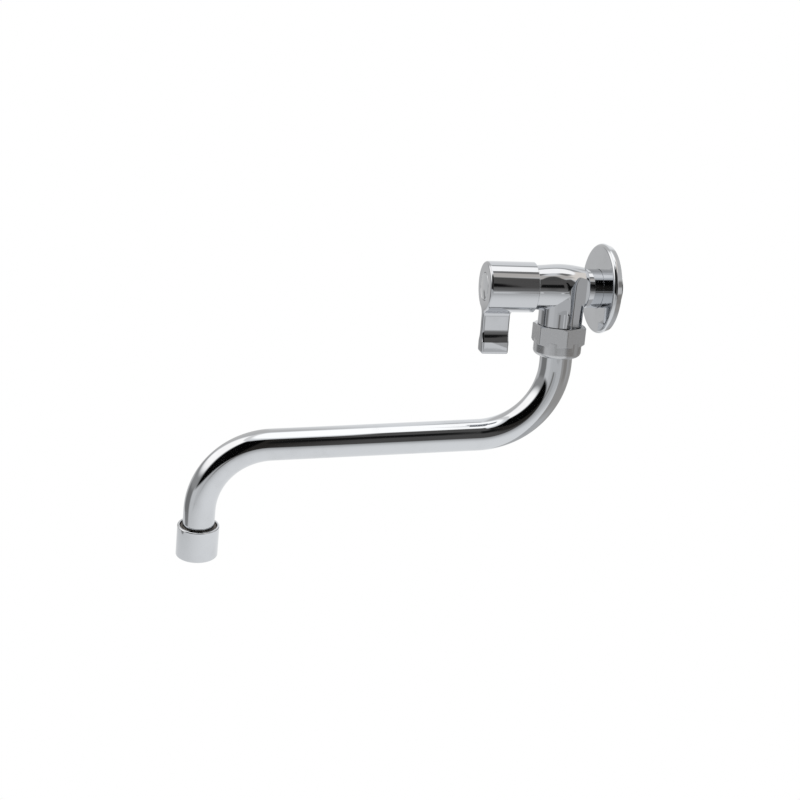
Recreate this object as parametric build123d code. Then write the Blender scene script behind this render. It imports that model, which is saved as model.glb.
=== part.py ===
"""Wall faucet for a commercial sink: one G1/2 inlet, a quarter-turn ceramic valve and a swivelling S spout.

Frame: millimetres, +Z up. The origin is the centre of the flange's back face, on the inlet axis.
The wall is the plane Y = 0 and the faucet stands out from it along -Y. "Out" is a distance from the wall.
"""

import os
from math import acos, cos, degrees, pi, radians, sin

from build123d import *

os.makedirs("parts", exist_ok=True)

# ---- clearances -----------------------------------------------------------------------------------------
RUNNING_FIT = 0.05      # radial gap of a turning fit
THREAD_FIT = 0.10       # radial gap between a screwed pair
LOOSE_FIT = 0.15        # radial gap of a part slid over another
SHOULDER_GAP = 0.3      # gap between the handle's back end and the barrel's shoulder

# ---- wall flange ----------------------------------------------------------------------------------------
FLANGE_R = 24.5
FLANGE_DEPTH = 4.85
FLANGE_SHEET = 1.0
FLANGE_EDGE_R = 1.8     # rounding of the front edge
FLANGE_RIM_LEAN = 19.0  # how far the rim leans in towards the wall, degrees
FLANGE_HUB_WALL = 1.2
FLANGE_HUB_LENGTH = 3.6

# ---- inlet: male G1/2 pipe thread, as a plain cylinder of its full size ----------------------------
THREAD_MAJOR_R = 10.478
THREAD_MINOR_R = 9.316
THREAD_START = 0.4      # first full thread beyond the wall plane
THREAD_LENGTH = 5.2
THREAD_RELIEF = 1.6     # groove between the thread and the neck
INLET_CHAMFER = 0.6
INLET_BORE_R = 6.5
INLET_BORE_OUT = 12.0   # where the inlet narrows towards the seat
SEAT_BORE_R = 5.2

# ---- valve body ------------------------------------------------------------------------------------------
NECK_R = 10.6
NECK_FRONT = 12.6       # out from the wall
BLOCK_BACK_R = 11.4     # body radius where it meets the neck
BARREL_CROWN_R = 12.9   # largest body radius, near the branch
BARREL_BACK_SLOPE = 0.2 # how fast the body narrows at the neck
BARREL_CROWN_OUT = 26.6
BARREL_FRONT_R = 12.05
BARREL_FRONT_OUT = 41.2
BARREL_STRAIGHT = 4.2   # even length at the front of the barrel
SPIGOT_LENGTH = 2.8     # front spigot inside the handle's skirt
SPIGOT_WALL = 1.3
FLAT_HALF_WIDTH = 9.5   # wrench flats, half of the width across
FLAT_R = 9.8            # half width of each flat, and the radius of its round top
FLAT_ROOT_R = 2.2       # hollow rounding where the flat turns up into its shoulder
FLAT_SHOULDER_R = 3.7   # round shoulder that runs out on the barrel
FLAT_OUT = 10.1         # middle of the flats, out from the wall
FLAT_RISE = 1.8         # centre of the round top, above the inlet axis
FLAT_RAMP = 1.6         # slope from the flat up to the neck
BRANCH_OUT = 24.0       # branch and spout axis, out from the wall
BRANCH_R = 12.1
BRANCH_ROOT_R = 12.7    # where it leaves the barrel
BRANCH_ROOT_LENGTH = 13.0
BRANCH_SHOULDER_Z = -20.0
BRANCH_SPIGOT_LENGTH = 6.0
BRANCH_BORE_R = 7.5
BRANCH_BORE_TOP_Z = -8.6
SEAT_OUT = 18.0         # valve seat, out from the wall
CHAMBER_STEP = 0.6      # chamber radius below the bore that the valve housing screws into
CHAMBER_LENGTH = 15.0

# ---- ceramic valve ---------------------------------------------------------------------------------------
SEAL_WALL = 2.0
SEAL_THICKNESS = 2.2
DISC_THICKNESS = 3.0
DISC_WINDOW_INNER_R = 1.6
DISC_WINDOW_EDGE = 1.7  # disc left outside the windows
DISC_WINDOW_ANGLE = 76.0
SLOT_WIDTH = 3.2
SLOT_DEPTH = 1.2
CAGE_WATER_GAP = 1.1    # water space round the valve housing's cage
CAGE_WALL = 0.75
CAGE_WINDOW_WIDTH = 7.0
CAGE_WINDOW_HEIGHT = 3.2
HOUSING_HEX_GAP = 0.8   # hexagon's corners to the inside of the handle
HOUSING_HEX_HEIGHT = 3.6
HOUSING_NECK_WALL = 2.0
HOUSING_NECK_LENGTH = 3.6
SPINDLE_STEP = 2.9      # shoulder between the valve discs' radius and the stem
SPINDLE_BASE_THICKNESS = 3.0
SPINDLE_BASE_WIDTH = 6.4
SLIDE_WASHER_THICKNESS = 0.9
SPINDLE_RING_OUTS = (36.0, 40.0)
SPINDLE_RING_WIRE_R = 0.5
HOUSING_RING_WIRE_R = 0.72
HOUSING_RING_SETBACK = 1.1   # ring centre behind the front face of the barrel's spigot
CLIP_THICKNESS = 0.7
CLIP_PROUD = 1.2        # clip outside the stem
CLIP_GROOVE_DEPTH = 0.7
SPLINE_STEP = 0.6       # stem to the spline's outer radius
SPLINE_DEPTH = 0.4
SPLINE_TEETH = 18
SPLINE_LENGTH = 8.0
BUSH_WALL = 1.2

# ---- handle ----------------------------------------------------------------------------------------------
HANDLE_R = 13.65
HANDLE_FRONT_OUT = 68.3
HANDLE_EDGE_R = 1.5
HANDLE_BACK_EDGE_R = 0.4
HANDLE_WALL = 1.9
SKIRT_GAP = 0.45        # handle's skirt to the body's spigot
HANDLE_FRONT_WALL = 3.8
HUB_WALL = 1.55
LEVER_BACK_OUT = 53.2
LEVER_DROP = 36.6       # lever tip below the handle's axis
LEVER_HALF_THICKNESS = 2.4
LEVER_LIP_HALF = 4.3
LEVER_LIP_HEIGHT = 6.7
LEVER_FLARE_HEIGHT = 6.6
LEVER_ROOT_R = 3.4
LEVER_EDGE_R = 0.7
LEVER_TIP_R = 1.6
INDEX_R = 7.45
INDEX_RECESS_DEPTH = 2.2
INDEX_DOME = 0.5
INDEX_CHAMFER = 0.35
SCREW_SHANK_R = 2.0
SCREW_HEAD_R = 3.6
SCREW_HEAD_HEIGHT = 2.4
SCREW_WEB = 2.4         # handle metal that the screw clamps
SCREW_REACH = 6.5       # thread length in the spindle
SCREW_SOCKET = 2.5      # hexagon key, across flats

# ---- spout joint -----------------------------------------------------------------------------------------
NUT_HEX = 26.0          # across flats
NUT_HEX_TURN = 0.0      # how far the nut came to rest turned, degrees: a corner points to +X
NUT_HEX_HEIGHT = 10.4
NUT_COLLAR_R = 13.2
NUT_COLLAR_HEIGHT = 6.8
NUT_COLLAR_ROUND = 2.6
NUT_TOP_GAP = 0.2
NUT_WALL = 1.5
PACKING_HEIGHT = 3.0
SLIP_RING_HEIGHT = 1.4
COLLAR_HEIGHT = 2.4

# ---- spout -----------------------------------------------------------------------------------------------
TUBE_R = 9.0
TUBE_WALL = 1.0
TUBE_TOP_Z = -18.8
FIRST_BEND_Z = -42.6
FIRST_BEND_R = 43.7
RUN_LENGTH = 116.2
RUN_SLOPE = 4.6         # degrees below level, away from the wall
SECOND_BEND_R = 44.3
TIP_LEAN = 4.0          # degrees off vertical, away from the wall
TIP_STRAIGHT = 9.0      # straight tube above the cap's rim
SPOUT_REST_SWING = -5.94  # degrees from straight out, seen from above

# ---- outlet ----------------------------------------------------------------------------------------------
CAP_R = 11.9
CAP_LENGTH = 18.8
CAP_EDGE_R = 0.7
CAP_WALL = 1.3
SLEEVE_RECESS = 0.8     # sleeve top below the cap's rim
SLEEVE_LENGTH = 8.7
OUTLET_WASHER_THICKNESS = 1.8
INSERT_R = 8.2
INSERT_WALL = 1.2
INSERT_FLANGE = 1.2
INSERT_PROUD = 1.5      # how far the insert stands below the cap
JET_PLATE_THICKNESS = 1.0
JET_HOLES = 12
JET_HOLE_R = 0.6
JET_CIRCLE_R = 4.8
SCREEN_THICKNESS = 0.3
SCREEN_GAP = 1.0
SCREENS = 3
SCREEN_PITCH = 1.5
SCREEN_HOLE = 0.95
GRID_PITCH = 2.4
GRID_RIB = 0.6

# ---- worked out from the sizes above ---------------------------------------------------------------------
HANDLE_CAVITY_R = HANDLE_R - HANDLE_WALL
SPIGOT_R = HANDLE_CAVITY_R - SKIRT_GAP
HOUSING_BORE_R = SPIGOT_R - SPIGOT_WALL
CHAMBER_R = HOUSING_BORE_R - CHAMBER_STEP
CAGE_R = CHAMBER_R - CAGE_WATER_GAP
DISC_R = CAGE_R - CAGE_WALL - RUNNING_FIT
DISC_WINDOW_OUTER_R = DISC_R - DISC_WINDOW_EDGE
SPINDLE_R = DISC_R - SPINDLE_STEP
HOUSING_NECK_R = SPINDLE_R + HOUSING_NECK_WALL
CLIP_OUTER_R = SPINDLE_R + CLIP_PROUD
CLIP_GROOVE_R = SPINDLE_R - CLIP_GROOVE_DEPTH
SPLINE_R = SPINDLE_R - SPLINE_STEP
BUSH_R = SPLINE_R + BUSH_WALL
SEAL_R = DISC_R - LOOSE_FIT
HOUSING_HEX = 2 * (HANDLE_CAVITY_R - HOUSING_HEX_GAP) * cos(pi / 6)
INLET_END_OUT = -THREAD_START - THREAD_LENGTH - INLET_CHAMFER
SPIGOT_END_OUT = BARREL_FRONT_OUT + SPIGOT_LENGTH
CHAMBER_END_OUT = SEAT_OUT + CHAMBER_LENGTH
HANDLE_BACK_OUT = BARREL_FRONT_OUT + SHOULDER_GAP
FIXED_DISC_OUT = SEAT_OUT + SEAL_THICKNESS
MOVING_DISC_OUT = FIXED_DISC_OUT + DISC_THICKNESS
SPINDLE_BASE_OUT = MOVING_DISC_OUT + DISC_THICKNESS + RUNNING_FIT
SLIDE_WASHER_OUT = SPINDLE_BASE_OUT + SPINDLE_BASE_THICKNESS + RUNNING_FIT
CAGE_ROOF_OUT = SLIDE_WASHER_OUT + SLIDE_WASHER_THICKNESS + RUNNING_FIT
HEX_END_OUT = SPIGOT_END_OUT + HOUSING_HEX_HEIGHT
HOUSING_END_OUT = HEX_END_OUT + HOUSING_NECK_LENGTH
CLIP_OUT = HOUSING_END_OUT + RUNNING_FIT
SPLINE_OUT = CLIP_OUT + CLIP_THICKNESS + LOOSE_FIT
SPINDLE_END_OUT = SPLINE_OUT + SPLINE_LENGTH
HUB_BORE_R = BUSH_R + RUNNING_FIT
HUB_R = HUB_BORE_R + HUB_WALL
HUB_BORE_END_OUT = SPINDLE_END_OUT + LOOSE_FIT
SCREW_SEAT_OUT = HUB_BORE_END_OUT + SCREW_WEB
INDEX_SEAT_OUT = HANDLE_FRONT_OUT - INDEX_RECESS_DEPTH
BRANCH_END_Z = BRANCH_SHOULDER_Z - BRANCH_SPIGOT_LENGTH
NUT_TOP_Z = BRANCH_SHOULDER_Z - NUT_TOP_GAP
NUT_HEX_END_Z = NUT_TOP_Z - NUT_HEX_HEIGHT
NUT_END_Z = NUT_HEX_END_Z - NUT_COLLAR_HEIGHT
NUT_BORE_R = NUT_HEX / 2 - NUT_WALL
BRANCH_SPIGOT_R = NUT_BORE_R - THREAD_FIT
PACKING_R = NUT_BORE_R - LOOSE_FIT
SLIP_RING_Z = BRANCH_END_Z - PACKING_HEIGHT
COLLAR_Z = SLIP_RING_Z - SLIP_RING_HEIGHT - RUNNING_FIT
NUT_LIP_Z = COLLAR_Z - COLLAR_HEIGHT - RUNNING_FIT
TUBE_BORE_R = TUBE_R - TUBE_WALL
TUBE_SEAT_R = TUBE_R + RUNNING_FIT
SLEEVE_R = CAP_R - CAP_WALL - THREAD_FIT
SLEEVE_END = SLEEVE_RECESS + SLEEVE_LENGTH
WASHER_END = SLEEVE_END + OUTLET_WASHER_THICKNESS
FLANGE_END = WASHER_END + INSERT_FLANGE
INSERT_END = CAP_LENGTH + INSERT_PROUD
INSERT_BORE_R = INSERT_R - INSERT_WALL
SCREENS_TOP = WASHER_END + JET_PLATE_THICKNESS
SCREEN_STEP = SCREEN_THICKNESS + SCREEN_GAP
GRID_TOP = SCREENS_TOP + SCREENS * SCREEN_STEP


# ---- helpers ---------------------------------------------------------------------------------------------
def bar_out(radius, near, far):
    """A round bar on the inlet axis between two distances out from the wall."""
    return Pos(0, -(near + far) / 2, 0) * Rot(90, 0, 0) * Cylinder(radius, far - near)


def ring_out(outer, inner, near, far):
    """A ring on the inlet axis."""
    return bar_out(outer, near, far) - bar_out(inner, near, far)


def bar_down(radius, top, bottom):
    """A round bar on the branch axis between two heights."""
    return Pos(0, -BRANCH_OUT, (top + bottom) / 2) * Cylinder(radius, top - bottom)


def ring_down(outer, inner, top, bottom):
    """A ring on the branch axis."""
    return bar_down(outer, top, bottom) - bar_down(inner, top, bottom)


def turned_out(points):
    """A turned solid on the inlet axis from its (radius, out) outline."""
    outline = Polyline(*[(r, -out) for r, out in points], close=True)
    return revolve(make_face(outline), Axis.Y)


def o_ring_out(centre_r, wire_r, out):
    """An O-ring round the inlet axis."""
    return Pos(0, -out, 0) * Rot(90, 0, 0) * Torus(centre_r, wire_r)


def hex_out(across_flats, near, far):
    """A hexagonal bar on the inlet axis, a corner up."""
    outline = Rot(0, 0, 30) * RegularPolygon(across_flats / 2, 6, major_radius=False)
    return Pos(0, -near, 0) * Rot(90, 0, 0) * extrude(outline, far - near)


def along_spout(part):
    """Swings a spout piece, built straight out from the wall, to where the spout rests."""
    axis = Axis((0, -BRANCH_OUT, 0), (0, 0, 1))
    return part.rotate(axis, SPOUT_REST_SWING)


def spline_outline(outer, depth, teeth):
    """A toothed outline with sloping flanks."""
    step = 2 * pi / teeth
    points = []
    for tooth in range(teeth):
        for share, radius in ((0.0, outer), (0.25, outer), (0.5, outer - depth), (0.75, outer - depth)):
            angle = (tooth + share) * step
            points.append((radius * cos(angle), radius * sin(angle)))
    return make_face(Polyline(*points, close=True))


def spline_bar(outer, near, far):
    """A toothed bar on the inlet axis."""
    outline = spline_outline(outer, SPLINE_DEPTH, SPLINE_TEETH)
    return Pos(0, -near, 0) * Rot(90, 0, 0) * extrude(outline, far - near)


# ---- wall side -------------------------------------------------------------------------------------------
def flange_rim():
    """The rim's line: its radius at the wall, and where it would meet the front face unrounded."""
    lean = radians(FLANGE_RIM_LEAN)
    centre_r = FLANGE_R - FLANGE_EDGE_R
    touch_r = centre_r + FLANGE_EDGE_R * cos(lean)
    touch_out = FLANGE_DEPTH - FLANGE_EDGE_R * (1 + sin(lean))
    slope = sin(lean) / cos(lean)
    return touch_r - touch_out * slope, touch_r + (FLANGE_DEPTH - touch_out) * slope


def wall_flange():
    """Dished cover plate with a hub round the neck."""
    hole_r = NECK_R + LOOSE_FIT
    hub_r = hole_r + FLANGE_HUB_WALL
    wall_r, front_r = flange_rim()
    shell = turned_out([(hole_r, 0), (wall_r, 0), (front_r, FLANGE_DEPTH), (hole_r, FLANGE_DEPTH)])
    front_edge = shell.edges().filter_by(GeomType.CIRCLE).group_by(Axis.Y)[0].sort_by(SortBy.RADIUS)[-1]
    shell = fillet(front_edge, FLANGE_EDGE_R)
    hollow = turned_out([
        (hub_r, -1), (wall_r - FLANGE_SHEET, -1), (wall_r - FLANGE_SHEET, 0),
        (FLANGE_R - FLANGE_SHEET, FLANGE_DEPTH - FLANGE_EDGE_R),
        (FLANGE_R - FLANGE_EDGE_R, FLANGE_DEPTH - FLANGE_SHEET), (hub_r, FLANGE_DEPTH - FLANGE_SHEET),
    ])
    hub_relief = ring_out(hub_r + 0.01, hole_r - 0.01, -1, FLANGE_DEPTH - FLANGE_HUB_LENGTH)
    return shell - hollow - hub_relief


def inlet_outline():
    """Outline (radius, Y) of neck, relief groove and thread, from the front of the neck inwards."""
    return [
        (NECK_R, -NECK_FRONT), (NECK_R, THREAD_START - THREAD_RELIEF),
        (THREAD_MINOR_R, THREAD_START - THREAD_RELIEF), (THREAD_MINOR_R, THREAD_START),
        (THREAD_MAJOR_R, THREAD_START), (THREAD_MAJOR_R, THREAD_START + THREAD_LENGTH),
        (THREAD_MAJOR_R - INLET_CHAMFER, -INLET_END_OUT),
    ]


def body_barrel():
    """Turned barrel, block and neck, with the thread."""
    straight_end = (BARREL_FRONT_R, -BARREL_FRONT_OUT + BARREL_STRAIGHT)
    crown = (BARREL_CROWN_R, -BARREL_CROWN_OUT)
    back = (BLOCK_BACK_R, -NECK_FRONT - (BLOCK_BACK_R - NECK_R))
    edges = [
        Polyline((0, -INLET_END_OUT), (0, -SPIGOT_END_OUT), (SPIGOT_R, -SPIGOT_END_OUT),
                 (SPIGOT_R, -BARREL_FRONT_OUT), (BARREL_FRONT_R, -BARREL_FRONT_OUT), straight_end),
        Spline(straight_end, crown, back, tangents=[(0, 1), (-BARREL_BACK_SLOPE, 1)]),
        Polyline(back, *inlet_outline(), (0, -INLET_END_OUT)),
    ]
    return revolve(make_face(edges), Axis.Y)


def flat_edges():
    """Half outline (X, distance from the middle) of a flat: level, hollow root, round shoulder."""
    drop = BARREL_CROWN_R - FLAT_HALF_WIDTH
    far_x = BARREL_CROWN_R + drop
    steepest = degrees(acos(1 - drop / (FLAT_ROOT_R + FLAT_SHOULDER_R)))
    rim = FLAT_R + (FLAT_ROOT_R + FLAT_SHOULDER_R) * sin(radians(steepest))
    return [
        Polyline((BARREL_CROWN_R, rim), (far_x, rim), (far_x, 0), (FLAT_HALF_WIDTH, 0),
                 (FLAT_HALF_WIDTH, FLAT_R)),
        CenterArc((FLAT_HALF_WIDTH + FLAT_ROOT_R, FLAT_R), FLAT_ROOT_R, 180 - steepest, steepest),
        CenterArc((BARREL_CROWN_R - FLAT_SHOULDER_R, rim), FLAT_SHOULDER_R, -steepest, steepest),
    ]


def flat_cutter():
    """Cutter for one wrench flat: round at the top, straight down to the nut, with a ramp up to the neck."""
    half = make_face(flat_edges())
    top = revolve(half, Axis.X)
    length = FLAT_RISE - BRANCH_SHOULDER_Z
    down = Pos(0, 0, -length) * extrude(half + mirror(half, Plane.XZ), length)
    far_y = -NECK_FRONT - 4 * FLAT_R
    far_x = 2 * BARREL_CROWN_R
    ramp = Polyline(
        (FLAT_HALF_WIDTH, far_y), (FLAT_HALF_WIDTH, -NECK_FRONT - FLAT_RAMP),
        (FLAT_HALF_WIDTH + FLAT_RAMP, -NECK_FRONT), (far_x, -NECK_FRONT), (far_x, far_y), close=True)
    limit = Pos(0, 0, -4 * FLAT_R) * extrude(make_face(ramp), 8 * FLAT_R)
    return (Pos(0, -FLAT_OUT, FLAT_RISE) * (top + down)) & limit


def body_branch():
    """Turned branch, a little wider where it leaves the barrel."""
    edges = [
        Polyline((BRANCH_ROOT_R, 0), (0, 0), (0, BRANCH_END_Z), (BRANCH_SPIGOT_R, BRANCH_END_Z),
                 (BRANCH_SPIGOT_R, BRANCH_SHOULDER_Z), (BRANCH_R, BRANCH_SHOULDER_Z),
                 (BRANCH_R, -BRANCH_ROOT_LENGTH)),
        Spline((BRANCH_R, -BRANCH_ROOT_LENGTH), (BRANCH_ROOT_R, 0), tangents=[(0, 1), (0, 1)]),
    ]
    turned = revolve(Plane.XZ * make_face(edges), Axis.Z)
    return Pos(0, -BRANCH_OUT, 0) * turned


def valve_body():
    """Forged body: inlet neck, wrench flats, barrel and branch, bored for water, valve and spout."""
    cutter = flat_cutter()
    solid = body_barrel() + body_branch() - cutter - mirror(cutter, Plane.YZ)
    solid -= bar_out(INLET_BORE_R, INLET_END_OUT, INLET_BORE_OUT)
    solid -= bar_out(SEAT_BORE_R, INLET_BORE_OUT, SEAT_OUT)
    solid -= bar_out(CHAMBER_R, SEAT_OUT, CHAMBER_END_OUT)
    solid -= bar_out(HOUSING_BORE_R, CHAMBER_END_OUT, SPIGOT_END_OUT)
    solid -= bar_down(BRANCH_BORE_R, BRANCH_BORE_TOP_Z, TUBE_TOP_Z)
    solid -= bar_down(TUBE_SEAT_R, TUBE_TOP_Z + SHOULDER_GAP, BRANCH_END_Z)
    return solid


# ---- ceramic valve ---------------------------------------------------------------------------------------
def disc_windows(near, far, turn):
    """Two facing water windows through a ceramic disc, on a line turned from the X axis."""
    half = radians(DISC_WINDOW_ANGLE / 2)
    inner, outer = DISC_WINDOW_INNER_R, DISC_WINDOW_OUTER_R
    across, up = cos(half), sin(half)
    edges = [
        Line((inner * across, -inner * up), (outer * across, -outer * up)),
        ThreePointArc((outer * across, -outer * up), (outer, 0), (outer * across, outer * up)),
        Line((outer * across, outer * up), (inner * across, inner * up)),
        ThreePointArc((inner * across, inner * up), (inner, 0), (inner * across, -inner * up)),
    ]
    window = Pos(0, -near, 0) * Rot(90, 0, 0) * extrude(make_face(edges), far - near)
    first = window.rotate(Axis.Y, turn)
    second = window.rotate(Axis.Y, turn + 180)
    return first, second


def seat_seal():
    """Rubber ring between the seat and the fixed disc."""
    return ring_out(SEAL_R, SEAL_R - SEAL_WALL, SEAT_OUT, FIXED_DISC_OUT)


def fixed_disc():
    """Ceramic disc that stays with the body."""
    first, second = disc_windows(FIXED_DISC_OUT, MOVING_DISC_OUT, 0)
    return bar_out(DISC_R, FIXED_DISC_OUT, MOVING_DISC_OUT) - first - second


def moving_disc():
    """Ceramic disc that turns with the spindle, driven by a slot."""
    end = MOVING_DISC_OUT + DISC_THICKNESS
    first, second = disc_windows(MOVING_DISC_OUT, end, 90)
    slot = Pos(0, -(end - SLOT_DEPTH / 2), 0) * Box(3 * DISC_R, SLOT_DEPTH, SLOT_WIDTH)
    return bar_out(DISC_R - LOOSE_FIT, MOVING_DISC_OUT, end) - first - second - slot


def cartridge_housing():
    """Brass housing that screws into the barrel and carries discs and spindle."""
    cage_end = FIXED_DISC_OUT - SHOULDER_GAP
    solid = bar_out(CAGE_R, cage_end, CHAMBER_END_OUT)
    solid += bar_out(HOUSING_BORE_R - THREAD_FIT, CHAMBER_END_OUT, SPIGOT_END_OUT)
    solid += hex_out(HOUSING_HEX, SPIGOT_END_OUT, HEX_END_OUT)
    solid += bar_out(HOUSING_NECK_R, HEX_END_OUT, HOUSING_END_OUT)
    solid -= bar_out(DISC_R + RUNNING_FIT, cage_end, CAGE_ROOF_OUT)
    solid -= bar_out(SPINDLE_R + RUNNING_FIT, CAGE_ROOF_OUT, HOUSING_END_OUT)
    window_out = CAGE_ROOF_OUT - CAGE_WINDOW_HEIGHT / 2 - RUNNING_FIT
    solid -= Pos(0, -window_out, 0) * Box(3 * CAGE_R, CAGE_WINDOW_HEIGHT, CAGE_WINDOW_WIDTH)
    solid -= Pos(0, -window_out, 0) * Box(CAGE_WINDOW_WIDTH, CAGE_WINDOW_HEIGHT, 3 * CAGE_R)
    ring_out_at = SPIGOT_END_OUT - HOUSING_RING_SETBACK
    groove_r = HOUSING_BORE_R - 2 * HOUSING_RING_WIRE_R - RUNNING_FIT
    near, far = ring_out_at - HOUSING_RING_WIRE_R, ring_out_at + HOUSING_RING_WIRE_R
    solid -= ring_out(HOUSING_BORE_R, groove_r, near, far)
    return solid


def cartridge_o_ring():
    """Rubber ring that seals the housing in the barrel."""
    centre_r = HOUSING_BORE_R - HOUSING_RING_WIRE_R - RUNNING_FIT / 2
    return o_ring_out(centre_r, HOUSING_RING_WIRE_R, SPIGOT_END_OUT - HOUSING_RING_SETBACK)


def spindle():
    """Brass spindle: bar that drives the disc, stem with two ring grooves, clip groove and spline."""
    base_end = SPINDLE_BASE_OUT + SPINDLE_BASE_THICKNESS
    base = bar_out(DISC_R - LOOSE_FIT, SPINDLE_BASE_OUT, base_end)
    base_out = (SPINDLE_BASE_OUT + base_end) / 2
    base &= Pos(0, -base_out, 0) * Box(3 * DISC_R, SPINDLE_BASE_THICKNESS, SPINDLE_BASE_WIDTH)
    tongue_depth = SLOT_DEPTH - RUNNING_FIT
    tongue = Pos(0, -(SPINDLE_BASE_OUT - tongue_depth / 2), 0)
    tongue *= Box(2 * DISC_R - 1, tongue_depth, SLOT_WIDTH - 2 * RUNNING_FIT)
    solid = base + tongue + bar_out(SPINDLE_R, base_end, CLIP_OUT + CLIP_THICKNESS + RUNNING_FIT)
    groove_r = SPINDLE_R + RUNNING_FIT - 2 * SPINDLE_RING_WIRE_R - RUNNING_FIT
    for out in SPINDLE_RING_OUTS:
        near, far = out - SPINDLE_RING_WIRE_R, out + SPINDLE_RING_WIRE_R
        solid -= ring_out(2 * SPINDLE_R, groove_r, near, far)
    solid -= ring_out(2 * SPINDLE_R, CLIP_GROOVE_R, CLIP_OUT, CLIP_OUT + CLIP_THICKNESS)
    solid += bar_out(SPLINE_R - SPLINE_DEPTH, CLIP_OUT, SPLINE_OUT)
    solid += spline_bar(SPLINE_R, SPLINE_OUT, SPINDLE_END_OUT)
    solid -= bar_out(SCREW_SHANK_R, SPINDLE_END_OUT - SCREW_REACH - 1, SPINDLE_END_OUT)
    return solid


def spindle_o_rings():
    """The two rubber rings on the stem."""
    centre_r = SPINDLE_R + RUNNING_FIT / 2 - SPINDLE_RING_WIRE_R
    rings = [o_ring_out(centre_r, SPINDLE_RING_WIRE_R, out) for out in SPINDLE_RING_OUTS]
    return Compound(children=rings)


def slide_washer():
    """Plastic washer between the spindle's base and the housing's roof."""
    inner = SPINDLE_R + LOOSE_FIT
    return ring_out(DISC_R - LOOSE_FIT, inner, SLIDE_WASHER_OUT, SLIDE_WASHER_OUT + SLIDE_WASHER_THICKNESS)


def spindle_clip():
    """Spring clip, open on one side, that holds the spindle in the housing."""
    ring = ring_out(CLIP_OUTER_R, CLIP_GROOVE_R + RUNNING_FIT, CLIP_OUT, CLIP_OUT + CLIP_THICKNESS)
    gap = Pos(0, -CLIP_OUT - CLIP_THICKNESS / 2, CLIP_OUTER_R) * Box(SLOT_WIDTH, 2, 2 * CLIP_OUTER_R)
    return ring - gap


# ---- handle ----------------------------------------------------------------------------------------------
def lever_outline():
    """Lever seen from the front: a waist that flares into a thick lip."""
    waist, lip = LEVER_HALF_THICKNESS, LEVER_LIP_HALF
    lip_top = -LEVER_DROP + LEVER_LIP_HEIGHT
    flare_top = lip_top + LEVER_FLARE_HEIGHT
    step = lip - waist
    bow_r = (LEVER_FLARE_HEIGHT ** 2 + step ** 2) / (2 * step)
    mid_x = waist + bow_r - (bow_r ** 2 - (LEVER_FLARE_HEIGHT / 2) ** 2) ** 0.5
    mid_z = flare_top - LEVER_FLARE_HEIGHT / 2
    edges = []
    for side in (1, -1):
        edges.append(Line((side * waist, 0), (side * waist, flare_top)))
        edges.append(ThreePointArc((side * waist, flare_top), (side * mid_x, mid_z), (side * lip, lip_top)))
        edges.append(Line((side * lip, lip_top), (side * lip, -LEVER_DROP)))
    edges.append(Line((-lip, -LEVER_DROP), (lip, -LEVER_DROP)))
    edges.append(Line((-waist, 0), (waist, 0)))
    return make_face(edges)


def handle_front_outline():
    """Round handle and lever in one outline, with the root rounded."""
    outline = Circle(HANDLE_R) + lever_outline()
    root_height = -(HANDLE_R ** 2 - LEVER_HALF_THICKNESS ** 2) ** 0.5
    roots = [v for v in outline.vertices() if abs(v.Y - root_height) < 0.01]
    outline = fillet(roots, LEVER_ROOT_R)
    tips = [v for v in outline.vertices() if v.Y < -LEVER_DROP + 0.01]
    outline = fillet(tips, LEVER_TIP_R)
    shoulders = [v for v in outline.vertices() if abs(v.Y + LEVER_DROP - LEVER_LIP_HEIGHT) < 0.01]
    return fillet(shoulders, LEVER_TIP_R)


def handle():
    """Cast handle: skirt over the barrel's spigot, hub for the spline bush, lever hanging from the front."""
    front = Pos(0, -LEVER_BACK_OUT, 0) * Rot(90, 0, 0) * extrude(
        handle_front_outline(), HANDLE_FRONT_OUT - LEVER_BACK_OUT)
    front_edges = front.edges().group_by(Axis.Y)[0]
    front = fillet(front_edges, HANDLE_EDGE_R)
    back_edges = [e for e in front.edges().group_by(Axis.Y)[-1] if e.bounding_box().max.Z < -HANDLE_R - 0.5]
    front = fillet(back_edges, LEVER_EDGE_R)
    skirt = bar_out(HANDLE_R, HANDLE_BACK_OUT, LEVER_BACK_OUT + 1)
    skirt = fillet(skirt.edges().group_by(Axis.Y)[-1], HANDLE_BACK_EDGE_R)
    solid = front + skirt
    cavity_end = HANDLE_FRONT_OUT - HANDLE_FRONT_WALL
    cavity = bar_out(HANDLE_CAVITY_R, HANDLE_BACK_OUT, cavity_end)
    cavity -= bar_out(HUB_R, SPLINE_OUT, cavity_end)
    solid -= cavity
    solid -= bar_out(HUB_BORE_R, SPLINE_OUT, HUB_BORE_END_OUT)
    solid -= bar_out(SCREW_SHANK_R + LOOSE_FIT, HUB_BORE_END_OUT, SCREW_SEAT_OUT)
    solid -= bar_out(SCREW_HEAD_R + LOOSE_FIT, SCREW_SEAT_OUT, INDEX_SEAT_OUT)
    solid -= bar_out(INDEX_R + LOOSE_FIT, INDEX_SEAT_OUT, HANDLE_FRONT_OUT)
    return solid


def spline_bush():
    """Nylon bush between the spindle's spline and the hub."""
    outer = bar_out(BUSH_R, SPLINE_OUT, SPINDLE_END_OUT)
    return outer - spline_bar(SPLINE_R + RUNNING_FIT, SPLINE_OUT, SPINDLE_END_OUT)


def handle_screw():
    """Socket screw that holds the handle on the spindle."""
    tip_out = SPINDLE_END_OUT - SCREW_REACH
    head_end = SCREW_SEAT_OUT + SCREW_HEAD_HEIGHT
    solid = bar_out(SCREW_SHANK_R - RUNNING_FIT, tip_out, SCREW_SEAT_OUT)
    solid += bar_out(SCREW_HEAD_R, SCREW_SEAT_OUT, head_end)
    return solid - hex_out(SCREW_SOCKET, SCREW_SEAT_OUT + SCREW_HEAD_HEIGHT / 2, head_end)


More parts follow.
